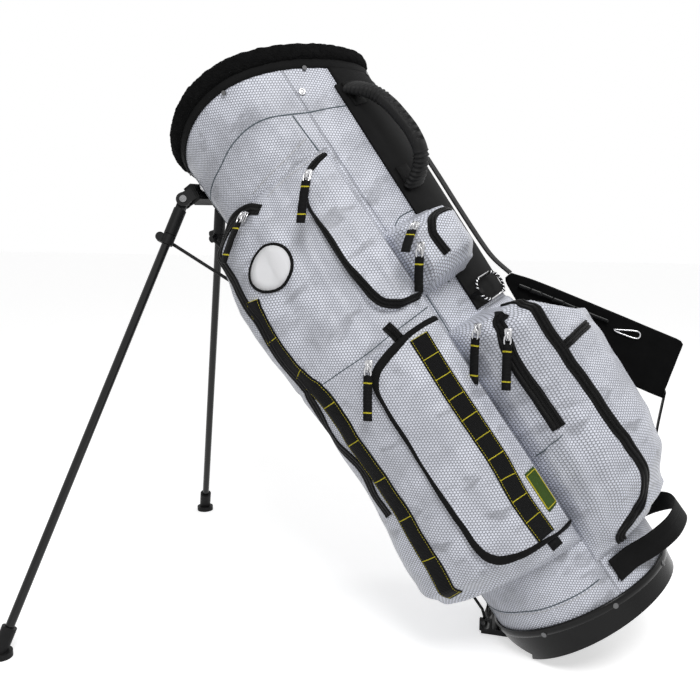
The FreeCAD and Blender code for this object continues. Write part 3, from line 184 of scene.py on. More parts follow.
def apparel_offset(angle, s):
    mirrored = angle if angle < 180 else 360 - angle
    share = stops_value(APPAREL_SHAPE, mirrored) * stops_value(APPAREL_RISE, s)
    flank = FLANK_DEPTH * stops_value(FLANK_SHAPE, mirrored) * stops_value(FLANK_RISE, s)
    folds = crumple(angle, s, 3.0 if angle < 180 else 5.0)
    slant = groove(s - 455.0, 5.0, 1.6)
    edge = min(1.0, share * 4 + flank / 20)
    return APPAREL_DEPTH * share + flank + (2.6 * folds - 1.2 + slant) * edge


def chest_offset(angle, s):
    share = corner_share(angle, s, 96.2, 478.0, 688.0, 32.0, 52.0, 8.0)
    fold = 1.2 * crumple(angle, s, 11.0) * share
    return apparel_offset(angle, s) - 2.0 + (CHEST_DEPTH + 1.0) * share + fold


def utility_offset(angle, s):
    share = corner_share(angle, s, 80.0, 150.0, 444.0, 30.0, 34.0, 6.0)
    return apparel_offset(angle, s) - 2.0 + (UTILITY_DEPTH + 1.0 + 0.6 * crumple(angle, s, 13.0)) * share


def ball_offset(angle, s):
    slope = 44.0 * smooth((angle - 141.0) / 26.0) * smooth((s - 300.0) / 70.0)
    share = stops_value(BALL_SHAPE, angle) * stops_value(BALL_RISE, min(s + slope, 420.0))
    folds = crumple(angle, s, 17.0, 60.0, 22.0)
    dip = groove((s - 240.0) + 1.2 * (angle - 128.0), 5.0, 1.5) if angle < 134 else 0.0
    return BALL_DEPTH * share + (2.8 * folds - 1.4 + dip) * min(1.0, share * 3)


def pouch_offset(angle, s):
    share = stops_value(POUCH_SHAPE, angle) * stops_value(POUCH_RISE, s)
    return POUCH_DEPTH * share + (2.4 * crumple(angle, s, 23.0, 40.0, 16.0) - 1.0) * min(1.0, share * 2)


BODY = Surface(body_offset)
APPAREL = Surface(apparel_offset)
CHEST = Surface(chest_offset)
UTILITY = Surface(utility_offset)
BALL = Surface(ball_offset)
POUCH = Surface(pouch_offset)
BARE = Surface(lambda angle, s: 0.0)


# ------------------------------------------------------------------ materials
class Shader:
    """A node material that ends in one Principled BSDF."""

    def __init__(self, name, **inputs):
        self.material = bpy.data.materials.new(name)
        self.material.use_nodes = True
        self.tree = self.material.node_tree
        self.tree.nodes.clear()
        output = self.tree.nodes.new("ShaderNodeOutputMaterial")
        self.bsdf = self.add("ShaderNodeBsdfPrincipled", **inputs)
        self.tree.links.new(self.bsdf.outputs[0], output.inputs["Surface"])

    def add(self, kind, settings=None, **inputs):
        node = self.tree.nodes.new(kind)
        for key, value in (settings or {}).items():
            setattr(node, key, value)
        for key, value in inputs.items():
            self.put(node, key.replace("_", " "), value)
        return node

    def put(self, node, key, value):
        socket = node.inputs[int(key)] if key.isdigit() else node.inputs[key]
        if hasattr(value, "is_output"):
            self.tree.links.new(value, socket)
        else:
            socket.default_value = value

    def math(self, operation, first, second=0.0, third=0.0):
        node = self.add("ShaderNodeMath", {"operation": operation})
        for index, value in enumerate((first, second, third)):
            self.put(node, str(index), value)
        return node.outputs[0]

    def coordinates(self, name="UV"):
        return self.add("ShaderNodeTexCoord").outputs[name]

    def scaled(self, vector, scale):
        return self.add("ShaderNodeMapping", Vector=vector, Scale=scale).outputs[0]

    def wave(self, vector, direction):
        dot = self.add("ShaderNodeVectorMath", {"operation": "DOT_PRODUCT"})
        self.put(dot, "0", vector)
        self.put(dot, "1", direction)
        return self.math("COSINE", dot.outputs["Value"])

    def noise(self, vector, scale, detail=2.0, rough=0.5):
        return self.add("ShaderNodeTexNoise", Vector=vector, Scale=scale, Detail=detail, Roughness=rough).outputs[0]

    def ramp(self, value, stops):
        node = self.add("ShaderNodeValToRGB")
        self.put(node, "0", value)
        elements = node.color_ramp.elements
        while len(elements) < len(stops):
            elements.new(0.5)
        for element, (place, colour) in zip(elements, stops):
            element.position = place
            element.color = tuple(colour) + (1.0,)
        return node.outputs[0]

    def blend(self, share, first, second):
        node = self.add("ShaderNodeMix", {"data_type": "RGBA"})
        self.put(node, "0", share)
        for socket, value in ((node.inputs[6], first), (node.inputs[7], second)):
            if hasattr(value, "is_output"):
                self.tree.links.new(value, socket)
            else:
                socket.default_value = tuple(value) + (1.0,)
        return node.outputs[2]

    def colour(self, value):
        self.put(self.bsdf, "Base Color", value if hasattr(value, "is_output") else tuple(value) + (1.0,))

    def bump(self, height, distance, strength=1.0):
        node = self.add("ShaderNodeBump", Height=height, Distance=distance, Strength=strength)
        self.tree.links.new(node.outputs[0], self.bsdf.inputs["Normal"])


def grey(value):
    return (value, value, value * 1.02)


def silver(value):
    """A slightly blue grey."""
    return (value * 0.93, value * 0.96, value * 1.07)


def hexagon_cells(shader, vector, pitch):
    """1 in the middle of each cell of a hexagonal net and 0 on its threads."""
    k = 4 * math.pi / (math.sqrt(3) * pitch * MM)
    total = shader.math("ADD", shader.wave(vector, (k, 0, 0)),
                        shader.math("ADD", shader.wave(vector, (k / 2, k * math.sqrt(3) / 2, 0)),
                                    shader.wave(vector, (-k / 2, k * math.sqrt(3) / 2, 0))))
    return shader.math("MULTIPLY_ADD", total, 1 / 4.5, 1 / 3)


def mesh_fabric(name, seed):
    """White nylon with soft grey mottling, painted fold shade and painted sheen streaks, under a fine open grey net."""
    shader = Shader(name, Roughness=0.42, Specular_IOR_Level=0.6, Sheen_Weight=0.15, Sheen_Roughness=0.4)
    uv = shader.coordinates()
    cells = hexagon_cells(shader, uv, MESH_PITCH)
    shifted = shader.add("ShaderNodeMapping", Vector=uv, Location=(seed, seed * 0.7, 0), Rotation=(0, 0, 0.5),
                         Scale=(1.0, 2.3, 1.0)).outputs[0]
    patches = shader.noise(shifted, 11.0, 3.0, 0.62)
    cloth = shader.ramp(patches, [(0.0, silver(0.9)), (0.555, silver(0.88)), (0.62, silver(0.48)), (1.0, silver(0.40))])
    # painted fold shade: soft noise patches darken the cloth towards mid grey, standing in for the shade of its folds
    shade = shader.ramp(shader.noise(shifted, 9.0, 3.0), [(0.38, grey(0.0)), (0.66, grey(0.75))])
    cloth = shader.blend(shade, cloth, silver(0.54))
    # painted sheen highlight: long soft streaks lighten the cloth towards white, standing in for the satin's sheen
    painted_sheen_streaks = shader.ramp(shader.noise(shader.scaled(shifted, (1.0, 0.3, 1.0)), 24.0, 2.0, 0.5),
                          [(0.45, grey(0.0)), (0.7, grey(0.55))])
    cloth = shader.blend(painted_sheen_streaks, cloth, silver(0.97))
    open_cell = shader.ramp(cells, [(0.04, grey(0.0)), (0.42, grey(1.0))])
    shader.colour(shader.blend(open_cell, silver(0.22), cloth))
    creases = shader.noise(shader.scaled(uv, (1.0, 0.6, 1.0)), 26.0, 2.0, 0.45)
    thread = shader.math("SUBTRACT", 1.0, cells)
    shader.bump(shader.math("MULTIPLY_ADD", thread, 0.05, creases), 0.0095, 0.9)
    return shader.material


def black_cloth(name, value=0.006, rib=1.1, roughness=0.7):
    """Close black cloth with a fine cross rib."""
    shader = Shader(name, Roughness=roughness, Specular_IOR_Level=0.07)
    uv = shader.coordinates()
    k = 2 * math.pi / (rib * MM)
    ribs = shader.math("MULTIPLY", shader.wave(uv, (0, k, 0)), shader.wave(uv, (k * 0.8, 0, 0)))
    dust = shader.noise(shader.coordinates("Object"), 60.0, 3.0)
    shader.colour(shader.blend(dust, grey(value * 0.7), grey(value * 1.7)))
    shader.bump(shader.math("ADD", shader.math("MULTIPLY", ribs, 0.4), dust), 0.0004, 0.5)
    return shader.material


def terry_pile():
    """Black looped pile, matt and uneven."""
    shader = Shader("terry", Roughness=0.95, Specular_IOR_Level=0.03)
    where = shader.coordinates("Object")
    loops = shader.add("ShaderNodeTexVoronoi", Vector=where, Scale=420.0).outputs["Distance"]
    tufts = shader.noise(where, 130.0, 3.0, 0.6)
    shader.colour(shader.blend(tufts, grey(0.002), grey(0.012)))
    shader.bump(shader.math("ADD", loops, tufts), 0.0016, 0.8)
    return shader.material


def zip_tape():
    """Black tape with a moulded coil: the teeth show as fine cross ribs along the middle."""
    shader = Shader("zip_tape", Roughness=0.4, Specular_IOR_Level=0.11)
    uv = shader.coordinates()
    parts = shader.add("ShaderNodeSeparateXYZ", Vector=uv)
    middle = shader.math("LESS_THAN", shader.math("ABSOLUTE", parts.outputs[0]), 0.0022)
    teeth = shader.wave(uv, (0, 2 * math.pi / (1.5 * MM), 0))
    weave = shader.wave(uv, (2 * math.pi / (0.9 * MM), 2 * math.pi / (0.9 * MM), 0))
    height = shader.math("ADD", shader.math("MULTIPLY", middle, teeth), shader.math("MULTIPLY", weave, 0.15))
    shader.colour(shader.blend(middle, grey(0.003), grey(0.009)))
    shader.bump(height, 0.0006, 0.8)
    return shader.material


def stitched_webbing(name, half, bar_pitch, dash=True, bar_start=0.0, bar_width=0.0011):
    """Black ribbed webbing with dashed yellow stitching along both edges and yellow bars across it."""
    shader = Shader(name, Roughness=0.55, Specular_IOR_Level=0.09)
    uv = shader.coordinates()
    parts = shader.add("ShaderNodeSeparateXYZ", Vector=uv)
    across, along = shader.math("ABSOLUTE", parts.outputs[0]), parts.outputs[1]
    ribs = shader.wave(uv, (0, 2 * math.pi / (1.7 * MM), 0))
    wander = shader.math("MULTIPLY", shader.noise(uv, 90.0), 0.0012)
    place = shader.math("ADD", shader.math("ADD", along, wander), -bar_start * MM)
    step = shader.math("MODULO", shader.math("ADD", place, 10 * bar_pitch * MM), bar_pitch * MM)
    bar = shader.math("LESS_THAN", step, bar_width)
    inside = shader.math("LESS_THAN", across, (half - 1.3) * MM)
    yellow = shader.math("MULTIPLY", bar, inside)
    if dash:
        from_line = shader.math("ABSOLUTE", shader.math("SUBTRACT", across, (half - 2.0) * MM))
        line = shader.math("LESS_THAN", from_line, 0.0003)
        dashes = shader.math("LESS_THAN", shader.math("MODULO", shader.math("ADD", along, 1.0), 0.0034), 0.0022)
        yellow = shader.math("MAXIMUM", yellow, shader.math("MULTIPLY", line, dashes))
    thread = shader.ramp(shader.noise(uv, 400.0), [(0.3, (0.42, 0.36, 0.02)), (0.7, (0.78, 0.68, 0.05))])
    black = shader.blend(shader.math("MULTIPLY_ADD", ribs, 0.5, 0.5), grey(0.003), grey(0.008))
    shader.colour(shader.blend(yellow, black, thread))
    shader.bump(shader.math("ADD", ribs, shader.math("MULTIPLY", yellow, 1.5)), 0.0004, 0.8)
    return shader.material


def moulded(name, value, roughness, grain=500.0, coat=0.0):
    """Moulded black plastic or rubber with a fine grain and faint handling marks."""
    shader = Shader(name, Coat_Weight=coat, Coat_Roughness=0.15, Specular_IOR_Level=0.14)
    where = shader.coordinates("Object")
    marks = shader.noise(where, 30.0, 4.0, 0.6)
    shader.colour(shader.blend(marks, grey(value * 0.8), grey(value * 1.3)))
    shader.put(shader.bsdf, "Roughness", shader.math("MULTIPLY_ADD", marks, 0.2, roughness - 0.1))
    shader.bump(shader.noise(where, grain, 2.0), 0.0002, 0.4)
    return shader.material


def metal(name, value, roughness):
    """Plated metal with faint smudges."""
    shader = Shader(name, Metallic=1.0)
    smudge = shader.noise(shader.coordinates("Object"), 90.0, 3.0)
    shader.colour(shader.blend(smudge, grey(value * 0.85), grey(value)))
    shader.put(shader.bsdf, "Roughness", shader.math("MULTIPLY_ADD", smudge, 0.15, roughness))
    shader.bump(smudge, 0.0001, 0.2)
    return shader.material


def plain_cloth(name, colour, second, roughness=0.8):
    """Fine woven cloth in two near colours."""
    shader = Shader(name, Roughness=roughness, Specular_IOR_Level=0.2)
    uv = shader.coordinates()
    k = 2 * math.pi / (0.8 * MM)
    weave = shader.math("MULTIPLY", shader.wave(uv, (k, 0, 0)), shader.wave(uv, (0, k, 0)))
    shader.colour(shader.blend(shader.math("MULTIPLY_ADD", weave, 0.5, 0.5), colour, second))
    shader.bump(weave, 0.0002, 0.6)
    return shader.material


FABRIC = mesh_fabric("mesh_fabric", 0.13)
LINING = plain_cloth("lining", grey(0.014), grey(0.024))
PLAIN = mesh_fabric("mesh_fabric_spine", 0.71)
BLACK = black_cloth("black_cloth")
FELT = black_cloth("strap_felt", 0.004, 0.7, 0.95)
TERRY = terry_pile()
ZIP = zip_tape()
SEAM = plain_cloth("seam_thread", (0.07, 0.09, 0.11), (0.15, 0.18, 0.2))
PALE_SEAM = plain_cloth("pale_thread", grey(0.45), grey(0.75))
LADDER = stitched_webbing("ladder_webbing", WEBBING / 2, 28.0)
SIDE_LADDER = stitched_webbing("side_ladder_webbing", WEBBING / 2, 56.0)
PLAIN_WEB = black_cloth("strap_webbing", 0.005, 1.7, 0.6)
PULL_WEB = stitched_webbing("pull_webbing", 8.0, 36.0, False, 9.0, 0.0018)
BOOT = moulded("boot_gloss", 0.004, 0.24, 300.0, 0.12)
SATIN = moulded("frame_satin", 0.009, 0.45)
TUBE = moulded("leg_tube", 0.004, 0.22, 900.0, 0.4)
RUBBER = moulded("grip_rubber", 0.012, 0.55, 700.0)
CHROME = metal("bright_metal", 0.62, 0.14)
DARK = metal("dark_metal", 0.16, 0.2)
PATCH_WHITE = plain_cloth("patch_white", grey(0.82), grey(0.93))
LABEL_GREEN = plain_cloth("label_green", (0.03, 0.06, 0.012), (0.07, 0.12, 0.02))
YELLOW = plain_cloth("yellow_thread", (0.42, 0.36, 0.02), (0.78, 0.68, 0.05))

FRAME_LOOKS = {
    BOOT: ("base_boot", "foot_pedal"),
    SATIN: ("top_collar", "stand_bracket", "near_leg_socket", "far_leg_socket", "near_leg_lug", "far_leg_lug",
            "near_spreader", "far_spreader", "slide_yoke", "push_rod", "body_stays", "pedal_pin"),
    TUBE: ("near_leg_tube", "far_leg_tube"),
    RUBBER: ("near_leg_foot", "far_leg_foot"),
    DARK: ("boot_rivets", "leg_pivot_screws", "edge_studs"),
    BLACK: ("spine_strip",),
}


def dress_frame():
    for material, names in FRAME_LOOKS.items():
        for name in names:
            data = NODES[name].data
            data.materials.clear()
            data.materials.append(material)


# ------------------------------------------------------------------ building meshes
def make_mesh(name, points, faces, material, uvs=None, body="bag", replaces=(), slot=None):
    """A mesh object from bag-frame points in mm; uvs are metres, one per point."""
    data = bpy.data.meshes.new(name)
    data.from_pydata([to_world(point) for point in points], [], faces)
    data.materials.append(material)
    if uvs:
        layer = data.uv_layers.new(name="UVMap")
        for loop in data.loops:
            layer.data[loop.index].uv = uvs[loop.vertex_index]
    for polygon in data.polygons:
        polygon.use_smooth = True
    data.validate()
    made = bpy.data.objects.new(name, data)
    bpy.context.scene.collection.objects.link(made)
    fix_normals(data)
    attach(made, body)
    if replaces:
        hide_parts(*replaces)
    return made


def fix_normals(data):
    work = bmesh.new()
    work.from_mesh(data)
    bmesh.ops.recalc_face_normals(work, faces=work.faces)
    work.to_mesh(data)
    work.free()


def grid_faces(columns, rows, start=0, closed=False):
    """Quads of a grid stored row by row, columns + 1 points to a row (columns when closed)."""
    width = columns if closed else columns + 1
    faces = []
    for row in range(rows):
        for column in range(columns):
            here, there = start + row * width + column, start + row * width + (column + 1) % width
            faces.append((here, there, there + width, here + width))
    return faces


def closing_faces(size, count):
    """Quads that join the last of count rings to the first, size points to a ring."""
    last = (count - 1) * size
    return [(last + j, last + (j + 1) % size, (j + 1) % size, j) for j in range(size)]


def closed_sheet(name, outer, inner, columns, rows, material, **options):
    """Closed solid between outer(u, v) and inner(u, v), with u and v from 0 to 1; each gives a point and a uv."""
    points, uvs = [], []
    for side in (outer, inner):
        for row in range(rows + 1):
            for column in range(columns + 1):
                point, uv = side(column / columns, row / rows)
                points.append(point)
                uvs.append(uv)
    count = (columns + 1) * (rows + 1)
    front = grid_faces(columns, rows)
    back = [tuple(reversed(face)) for face in grid_faces(columns, rows, count)]
    rim = list(range(columns + 1))
    rim += [row * (columns + 1) + columns for row in range(1, rows + 1)]
    rim += [rows * (columns + 1) + column for column in range(columns - 1, -1, -1)]
    rim += [row * (columns + 1) for row in range(rows - 1, 0, -1)]
    sides = [(a, b, b + count, a + count) for a, b in zip(rim, rim[1:] + rim[:1])]
    return make_mesh(name, points, front + back + sides, material, uvs, **options)


def pocket(name, surface, angles, heights, columns, rows, material=FABRIC, roll=9.0, back=-1.5, **options):
    """A soft pocket: the surface over a window of angle and height, rolled down to the body at its edges."""
    start, end = angles
    low, high = heights
    middle = (start + end) / 2
    spread = body_radius(s=(low + high) / 2) + surface.offset(middle, (low + high) / 2)

    def outer(u, v):
        angle, s = start + (end - start) * u, low + (high - low) * v
        arc = math.radians(end - start) * body_radius(s)
        reach = min(u * arc, (1 - u) * arc, v * (high - low), (1 - v) * (high - low))
        share = math.sqrt(max(0.0, 1 - (1 - min(1.0, reach / roll)) ** 2))
        offset = surface.offset(angle, s)
        under = 0.3
        return polar(angle, body_radius(s) + under + (offset - under) * share, s), fabric_uv(angle - middle, s, spread)

    def inner(u, v):
        angle, s = start + (end - start) * u, low + (high - low) * v
        return polar(angle, body_radius(s) + back, s), fabric_uv(angle - middle, s, spread)

    return closed_sheet(name, outer, inner, columns, rows, material, **options)


def fabric_uv(angle, s, radius=140.0):
    return (math.radians(angle) * radius * MM, s * MM)


def spline_path(stops, step, distance):
    """Catmull-Rom through (angle, s) stops, resampled about every step mm; distance(a, b) measures two samples."""
    if len(stops) == 2:
        raw = [tuple(a + (b - a) * k / 60 for a, b in zip(*stops)) for k in range(61)]
    else:
        ends = [tuple(2 * a - b for a, b in zip(stops[0], stops[1]))]
        ends += list(stops) + [tuple(2 * a - b for a, b in zip(stops[-1], stops[-2]))]
        raw = []
        for p0, p1, p2, p3 in zip(ends, ends[1:], ends[2:], ends[3:]):
            for k in range(24):
                share = k / 24
                raw.append(tuple(0.5 * (2 * b + (c - a) * share + (2 * a - 5 * b + 4 * c - d) * share ** 2
                                        + (3 * b - a - 3 * c + d) * share ** 3) for a, b, c, d in zip(p0, p1, p2, p3)))
        raw.append(tuple(stops[-1]))
    lengths = [0.0]
    for first, second in zip(raw, raw[1:]):
        lengths.append(lengths[-1] + distance(first, second))
    count = max(2, round(lengths[-1] / step))
    result, index = [], 0
    for k in range(count + 1):
        goal = lengths[-1] * k / count
        while index < len(raw) - 2 and lengths[index + 1] < goal:
            index += 1
        span = max(1e-9, lengths[index + 1] - lengths[index])
        share = (goal - lengths[index]) / span
        result.append(tuple(a + (b - a) * share for a, b in zip(raw[index], raw[index + 1])))
    return result, lengths[-1] / count


FLAT_BAND = [(-1, -0.8), (-1, 1.0), (-0.93, 1.5), (-0.4, 1.6), (0.4, 1.6), (0.93, 1.5), (1, 1.0), (1, -0.8)]
ZIP_BAND = [(-1, -0.8), (-1, 0.9), (-0.88, 1.9), (-0.55, 2.0), (-0.44, 1.0), (-0.3, 0.9), (-0.22, 2.0), (0, 2.4),
            (0.22, 2.0), (0.3, 0.9), (0.44, 1.0), (0.55, 2.0), (0.88, 1.9), (1, 0.9), (1, -0.8)]
PIPING = [(-1, -0.8), (-0.96, 0.9), (-0.7, 2.0), (-0.3, 2.5), (0.3, 2.5), (0.7, 2.0), (0.96, 0.9), (1, -0.8)]
STITCH = [(-1, -0.6), (-0.6, 0.35), (0.6, 0.35), (1, -0.6)]


def ribbon(name, surface, stops, width, profile, material, step=4.0, lift=0.3, **options):
    """A band laid on a surface along (angle, s) stops; its profile is (share of half width, height in mm)."""
    def measure(a, b):
        return (surface.point(*a) - surface.point(*b)).length

    path, pace = spline_path(stops, step, measure)
    points, uvs = [], []
    for k, (angle, s) in enumerate(path):
        centre = surface.point(angle, s)
        before, after = path[max(0, k - 1)], path[min(len(path) - 1, k + 1)]
        tangent = (surface.point(*after) - surface.point(*before)).normalized()
        normal = surface.normal(angle, s)
        across = tangent.cross(normal).normalized()
        for share, height in profile:
            flat = centre + across * (share * width / 2)
            points.append(surface.drape(flat, height + lift, normal))
            uvs.append((share * width / 2 * MM, k * pace * MM))
    ring_size, last = len(profile), len(path) - 1
    faces = []
    for k in range(last):
        for j in range(ring_size):
            a, b = k * ring_size + j, k * ring_size + (j + 1) % ring_size
            faces.append((a, b, b + ring_size, a + ring_size))
    faces.append(tuple(reversed(range(ring_size))))
    faces.append(tuple(last * ring_size + j for j in range(ring_size)))
    return make_mesh(name, points, faces, material, uvs, **options)


def swept(name, path, sections, material, closed=False, up=Vector((0, 1, 0)), **options):
    """A tube through bag-frame points; sections gives, for each point, its ring as (side, up) offsets in mm."""
    points, uvs, run = [], [], 0.0
    count = len(path)
    for k, centre in enumerate(path):
        before = path[k - 1] if closed or k else path[0]
        after = path[(k + 1) % count] if closed or k < count - 1 else path[-1]
        tangent = (after - before).normalized()
        side = tangent.cross(up).normalized()
        above = side.cross(tangent).normalized()
        run += (centre - path[k - 1]).length if k else 0.0
        ring_points = sections(k / max(1, count - 1))
        for j, (a, b) in enumerate(ring_points):
            points.append(centre + side * a + above * b)
            uvs.append((j * 3.0 * MM, run * MM))
    size = len(ring_points)
    faces = []
    for k in range(count if closed else count - 1):
        for j in range(size):
            a, b = k * size + j, k * size + (j + 1) % size
            c, d = ((k + 1) % count) * size + (j + 1) % size, ((k + 1) % count) * size + j
            faces.append((a, b, c, d))
    if not closed:
        faces.append(tuple(reversed(range(size))))
        faces.append(tuple((count - 1) * size + j for j in range(size)))
    return make_mesh(name, points, faces, material, uvs, **options)


def oval(width, height, count=14, power=1.0):
    """Ring of (side, up) offsets of an oval; power below 1 squares it."""
    ring_points = []
    for k in range(count):
        turn = 2 * math.pi * k / count
        c, d = math.cos(turn), math.sin(turn)
        ring_points.append((math.copysign(abs(c) ** power, c) * width / 2,
                            math.copysign(abs(d) ** power, d) * height / 2))
    return ring_points


def curve_points(stops, count):
    """Catmull-Rom through bag-frame points."""
    path, _ = spline_path([tuple(stop) for stop in stops], 1.0, lambda a, b: (Vector(a) - Vector(b)).length)
    picked = [path[round(k * (len(path) - 1) / count)] for k in range(count + 1)]
    return [Vector(point) for point in picked]


# ------------------------------------------------------------------ body, mouth
def make_skin():
    """The four fabric panels of the tube, from inside the boot's rim to the mouth."""
    panels = (("front_skin", "front_panel", -FRONT_SEAM, FRONT_SEAM, FABRIC),
              ("near_skin", "near_panel", FRONT_SEAM, BACK_SEAM, FABRIC),
              ("spine_skin", "spine_panel", BACK_SEAM, 360 - BACK_SEAM, PLAIN),
              ("far_skin", "far_panel", 360 - BACK_SEAM, 360 - FRONT_SEAM, FABRIC))
    for name, node, start, end, material in panels:
        columns = round((end - start) / 2)

        def outer(u, v, start=start, end=end):
            angle = start + (end - start) * u
            low, high = rim_height(angle) - 10, mouth_height(angle) + 2
            s = low + (high - low) * v
            calm = smooth(min(s - low - 8, high - s) / 25)
            return polar(angle, body_radius(s) + body_offset(angle, s) * calm - 0.1, s), fabric_uv(angle, s)

        def inner(u, v, start=start, end=end):
            angle = start + (end - start) * u
            low, high = rim_height(angle) - 10, mouth_height(angle) + 2
            s = low + (high - low) * v
            return polar(angle, body_radius(s) - SKIN, s), fabric_uv(angle, s)

        closed_sheet(name, outer, inner, columns, 120, material, replaces=(node,), slot="mesh_fabric")


def make_cuff():
    """Terry cuff round the mouth and the smooth binding below it."""
    count, ring_size = 260, 40
    points, uvs = [], []
    for k in range(count):
        angle = 360.0 * k / count
        base, top = mouth_height(angle, BINDING - 1), mouth_height(angle, CUFF_TOP)
        middle_radius, half = (CUFF_OUTER + CUFF_INNER) / 2, (CUFF_OUTER - CUFF_INNER) / 2
        for j in range(ring_size):
            turn = 2 * math.pi * j / ring_size
            c, d = math.cos(turn), math.sin(turn)
            radial = math.copysign(abs(c) ** 0.75, c) * (half - 1.5)
            rise = (base + top) / 2 + math.copysign(abs(d) ** 0.85, d) * (top - base) / 2
            point = polar(angle, middle_radius + radial, rise)
            tuft = 0.7 * noise.noise(point / 9.0) + 0.7 * noise.noise(point / 2.6)
            out = outward(angle) * c + Vector((0, 0, d))
            points.append(point + out * (1.4 * tuft + 0.8))
            uvs.append((j * 2.0 * MM, k * 3.4 * MM))
    faces = [tuple(reversed(face)) for face in grid_faces(ring_size, count - 1, closed=True)]
    faces += closing_faces(ring_size, count)
    make_mesh("terry_ring", points, faces, TERRY, uvs, replaces=("terry_cuff",), slot="terry")

    def band(angle):
        foot = -1.0 - 2.5 * smooth((90 - abs(180 - angle)) / 60)
        return [(mouth_height(angle, level), radius) for level, radius in
                ((foot, 0.9), (foot + 1, 2.1), (4, 2.6), (9, 2.2), (12, 1.2), (12, -2.6), (foot, -0.2))]

    points, uvs, count = [], [], 180
    for k in range(count):
        angle = 360.0 * k / count
        for j, (s, lift) in enumerate(band(angle)):
            points.append(polar(angle, body_radius(s) + lift, s))
            uvs.append((j * 3 * MM, k * 4.9 * MM))
    faces = grid_faces(7, count - 1, closed=True) + closing_faces(7, count)
    make_mesh("mouth_binding", points, faces, BLACK, uvs, replaces=("cuff_binding",), slot="black_fabric")


def make_dividers():
    """Fabric walls with a soft rolled head under the moulded bars."""
    for name, node, spans, across in (("cross_wall", "lateral_divider", ((-112, 112),), False),
                                      ("long_walls", "length_dividers", ((-110, -3), (3, 110)), True)):
        points, faces, uvs = [], [], []
        for low_y, high_y in spans:
            for face_side in (1, -1):
                start = len(points)
                for row in range(31):
                    for column in range(13):
                        y = low_y + (high_y - low_y) * column / 12
                        angle = (180 if y > 0 else 0) if across else (270 if y > 0 else 90)
                        top = mouth_height(angle, -26) if abs(y) > 40 else MOUTH_LOW - 26
                        s = 72 + (top - 72) * row / 30
                        sway = 1.6 * noise.noise(Vector((y / 40, s / 90, 3.0))) * smooth((top - s) / 60)
                        thick = 1.0 if row < 30 else 0.3
                        x = face_side * thick + sway
                        points.append(Vector((y, x, s)) if across else Vector((x, y, s)))
                        uvs.append((y * MM, s * MM))
                grid = grid_faces(12, 30, start)
                faces += grid if face_side > 0 else [tuple(reversed(face)) for face in grid]
            count, start = 13 * 31, len(points) - 2 * 13 * 31
            rim = list(range(13)) + [r * 13 + 12 for r in range(1, 31)]
            rim += [30 * 13 + c for c in range(11, -1, -1)] + [r * 13 for r in range(29, 0, -1)]
            faces += [(start + a, start + b, start + b + count, start + a + count)
                      for a, b in zip(rim, rim[1:] + rim[:1])]
        make_mesh(name, points, faces, LINING, uvs, replaces=(node,), slot="black_fabric")


def make_boot_lip():
    """Rolled lip round the boot's rim."""
    profile = ((-10.5, -0.6), (-9.5, 0.9), (-6.0, 1.5), (-1.5, 1.4), (0.4, 0.4), (0.4, -2.2))
    points, uvs, count = [], [], 180
    for k in range(count):
        angle = 360.0 * k / count
        for j, (drop, lift) in enumerate(profile):
            s = rim_height(angle) + drop
            radius = BOOT_FOOT + (BOOT_RADIUS - BOOT_FOOT) * min(1.0, s / BOOT_HEIGHT)
            points.append(polar(angle, radius + lift, s))
            uvs.append((j * 2 * MM, k * 4.4 * MM))
    size = len(profile)
    faces = grid_faces(size, count - 1, closed=True) + closing_faces(size, count)
    make_mesh("boot_lip", points, faces, BOOT, uvs, slot="boot_plastic")


def disc_at(surface, angle, s, rings, count=24):
    """A turned button standing on the fabric; rings are (radius, height) from its edge to its middle."""
    centre, normal = surface.point(angle, s), surface.normal(angle, s)
    side = normal.cross(Vector((0, 0, 1))).normalized()
    above = side.cross(normal)
    points = []
    for radius, height in rings:
        for k in range(count):
            turn = 2 * math.pi * k / count
            points.append(centre + (side * math.cos(turn) + above * math.sin(turn)) * radius + normal * height)
    faces = grid_faces(count, len(rings) - 1, closed=True)
    faces.append(tuple(reversed(range(count))))
    faces.append(tuple((len(rings) - 1) * count + k for k in range(count)))
    return points, faces


def join_parts(name, parts, material, **options):
    points, faces = [], []
    for part_points, part_faces in parts:
        start = len(points)
        points += part_points
        faces += [tuple(index + start for index in face) for face in part_faces]
    return make_mesh(name, points, faces, material, [(p.x * MM, p.z * MM) for p in points], **options)


def make_snaps():
    """Ring snaps for a rain hood."""
    ring_profile = [(4.6, -0.6), (4.7, 0.9), (4.2, 1.9), (3.1, 2.1), (2.6, 1.4), (2.1, 1.3), (1.9, 2.7), (1.0, 3.0)]
    parts = [disc_at(BARE, angle, mouth_height(angle) - 36, ring_profile) for angle in (29, 125, 235, 331)]
    join_parts("snap_rings", parts, CHROME, replaces=("hood_snaps",), slot="dark_metal")


# ------------------------------------------------------------------ pockets
def make_pockets():
    pocket("near_pocket", APPAREL, (24, 119.6), (116, 696), 64, 150, replaces=("near_apparel_pocket",),
           slot="mesh_fabric")
    pocket("far_pocket", APPAREL, (240.4, 336), (116, 696), 64, 150, replaces=("far_apparel_pocket",),
           slot="mesh_fabric")
    pocket("ball_bag", BALL, (120.2, 183.8), (83, 420), 60, 110, roll=14.0, replaces=("ball_pocket",),
           slot="mesh_fabric")
    pocket("pouch_bag", POUCH, (118.8, 154), (474, 567), 40, 44, roll=16.0, replaces=("valuables_pouch",),
           slot="mesh_fabric")
    pocket("chest_flap", CHEST, (94.0, 117.6), (474, 694), 40, 100, roll=0.5, replaces=("chest_pocket",),
           slot="mesh_fabric")
    pocket("side_flap", UTILITY, (78, 117.6), (146, 446), 56, 120, roll=0.5, replaces=("utility_pocket",),
           slot="mesh_fabric")


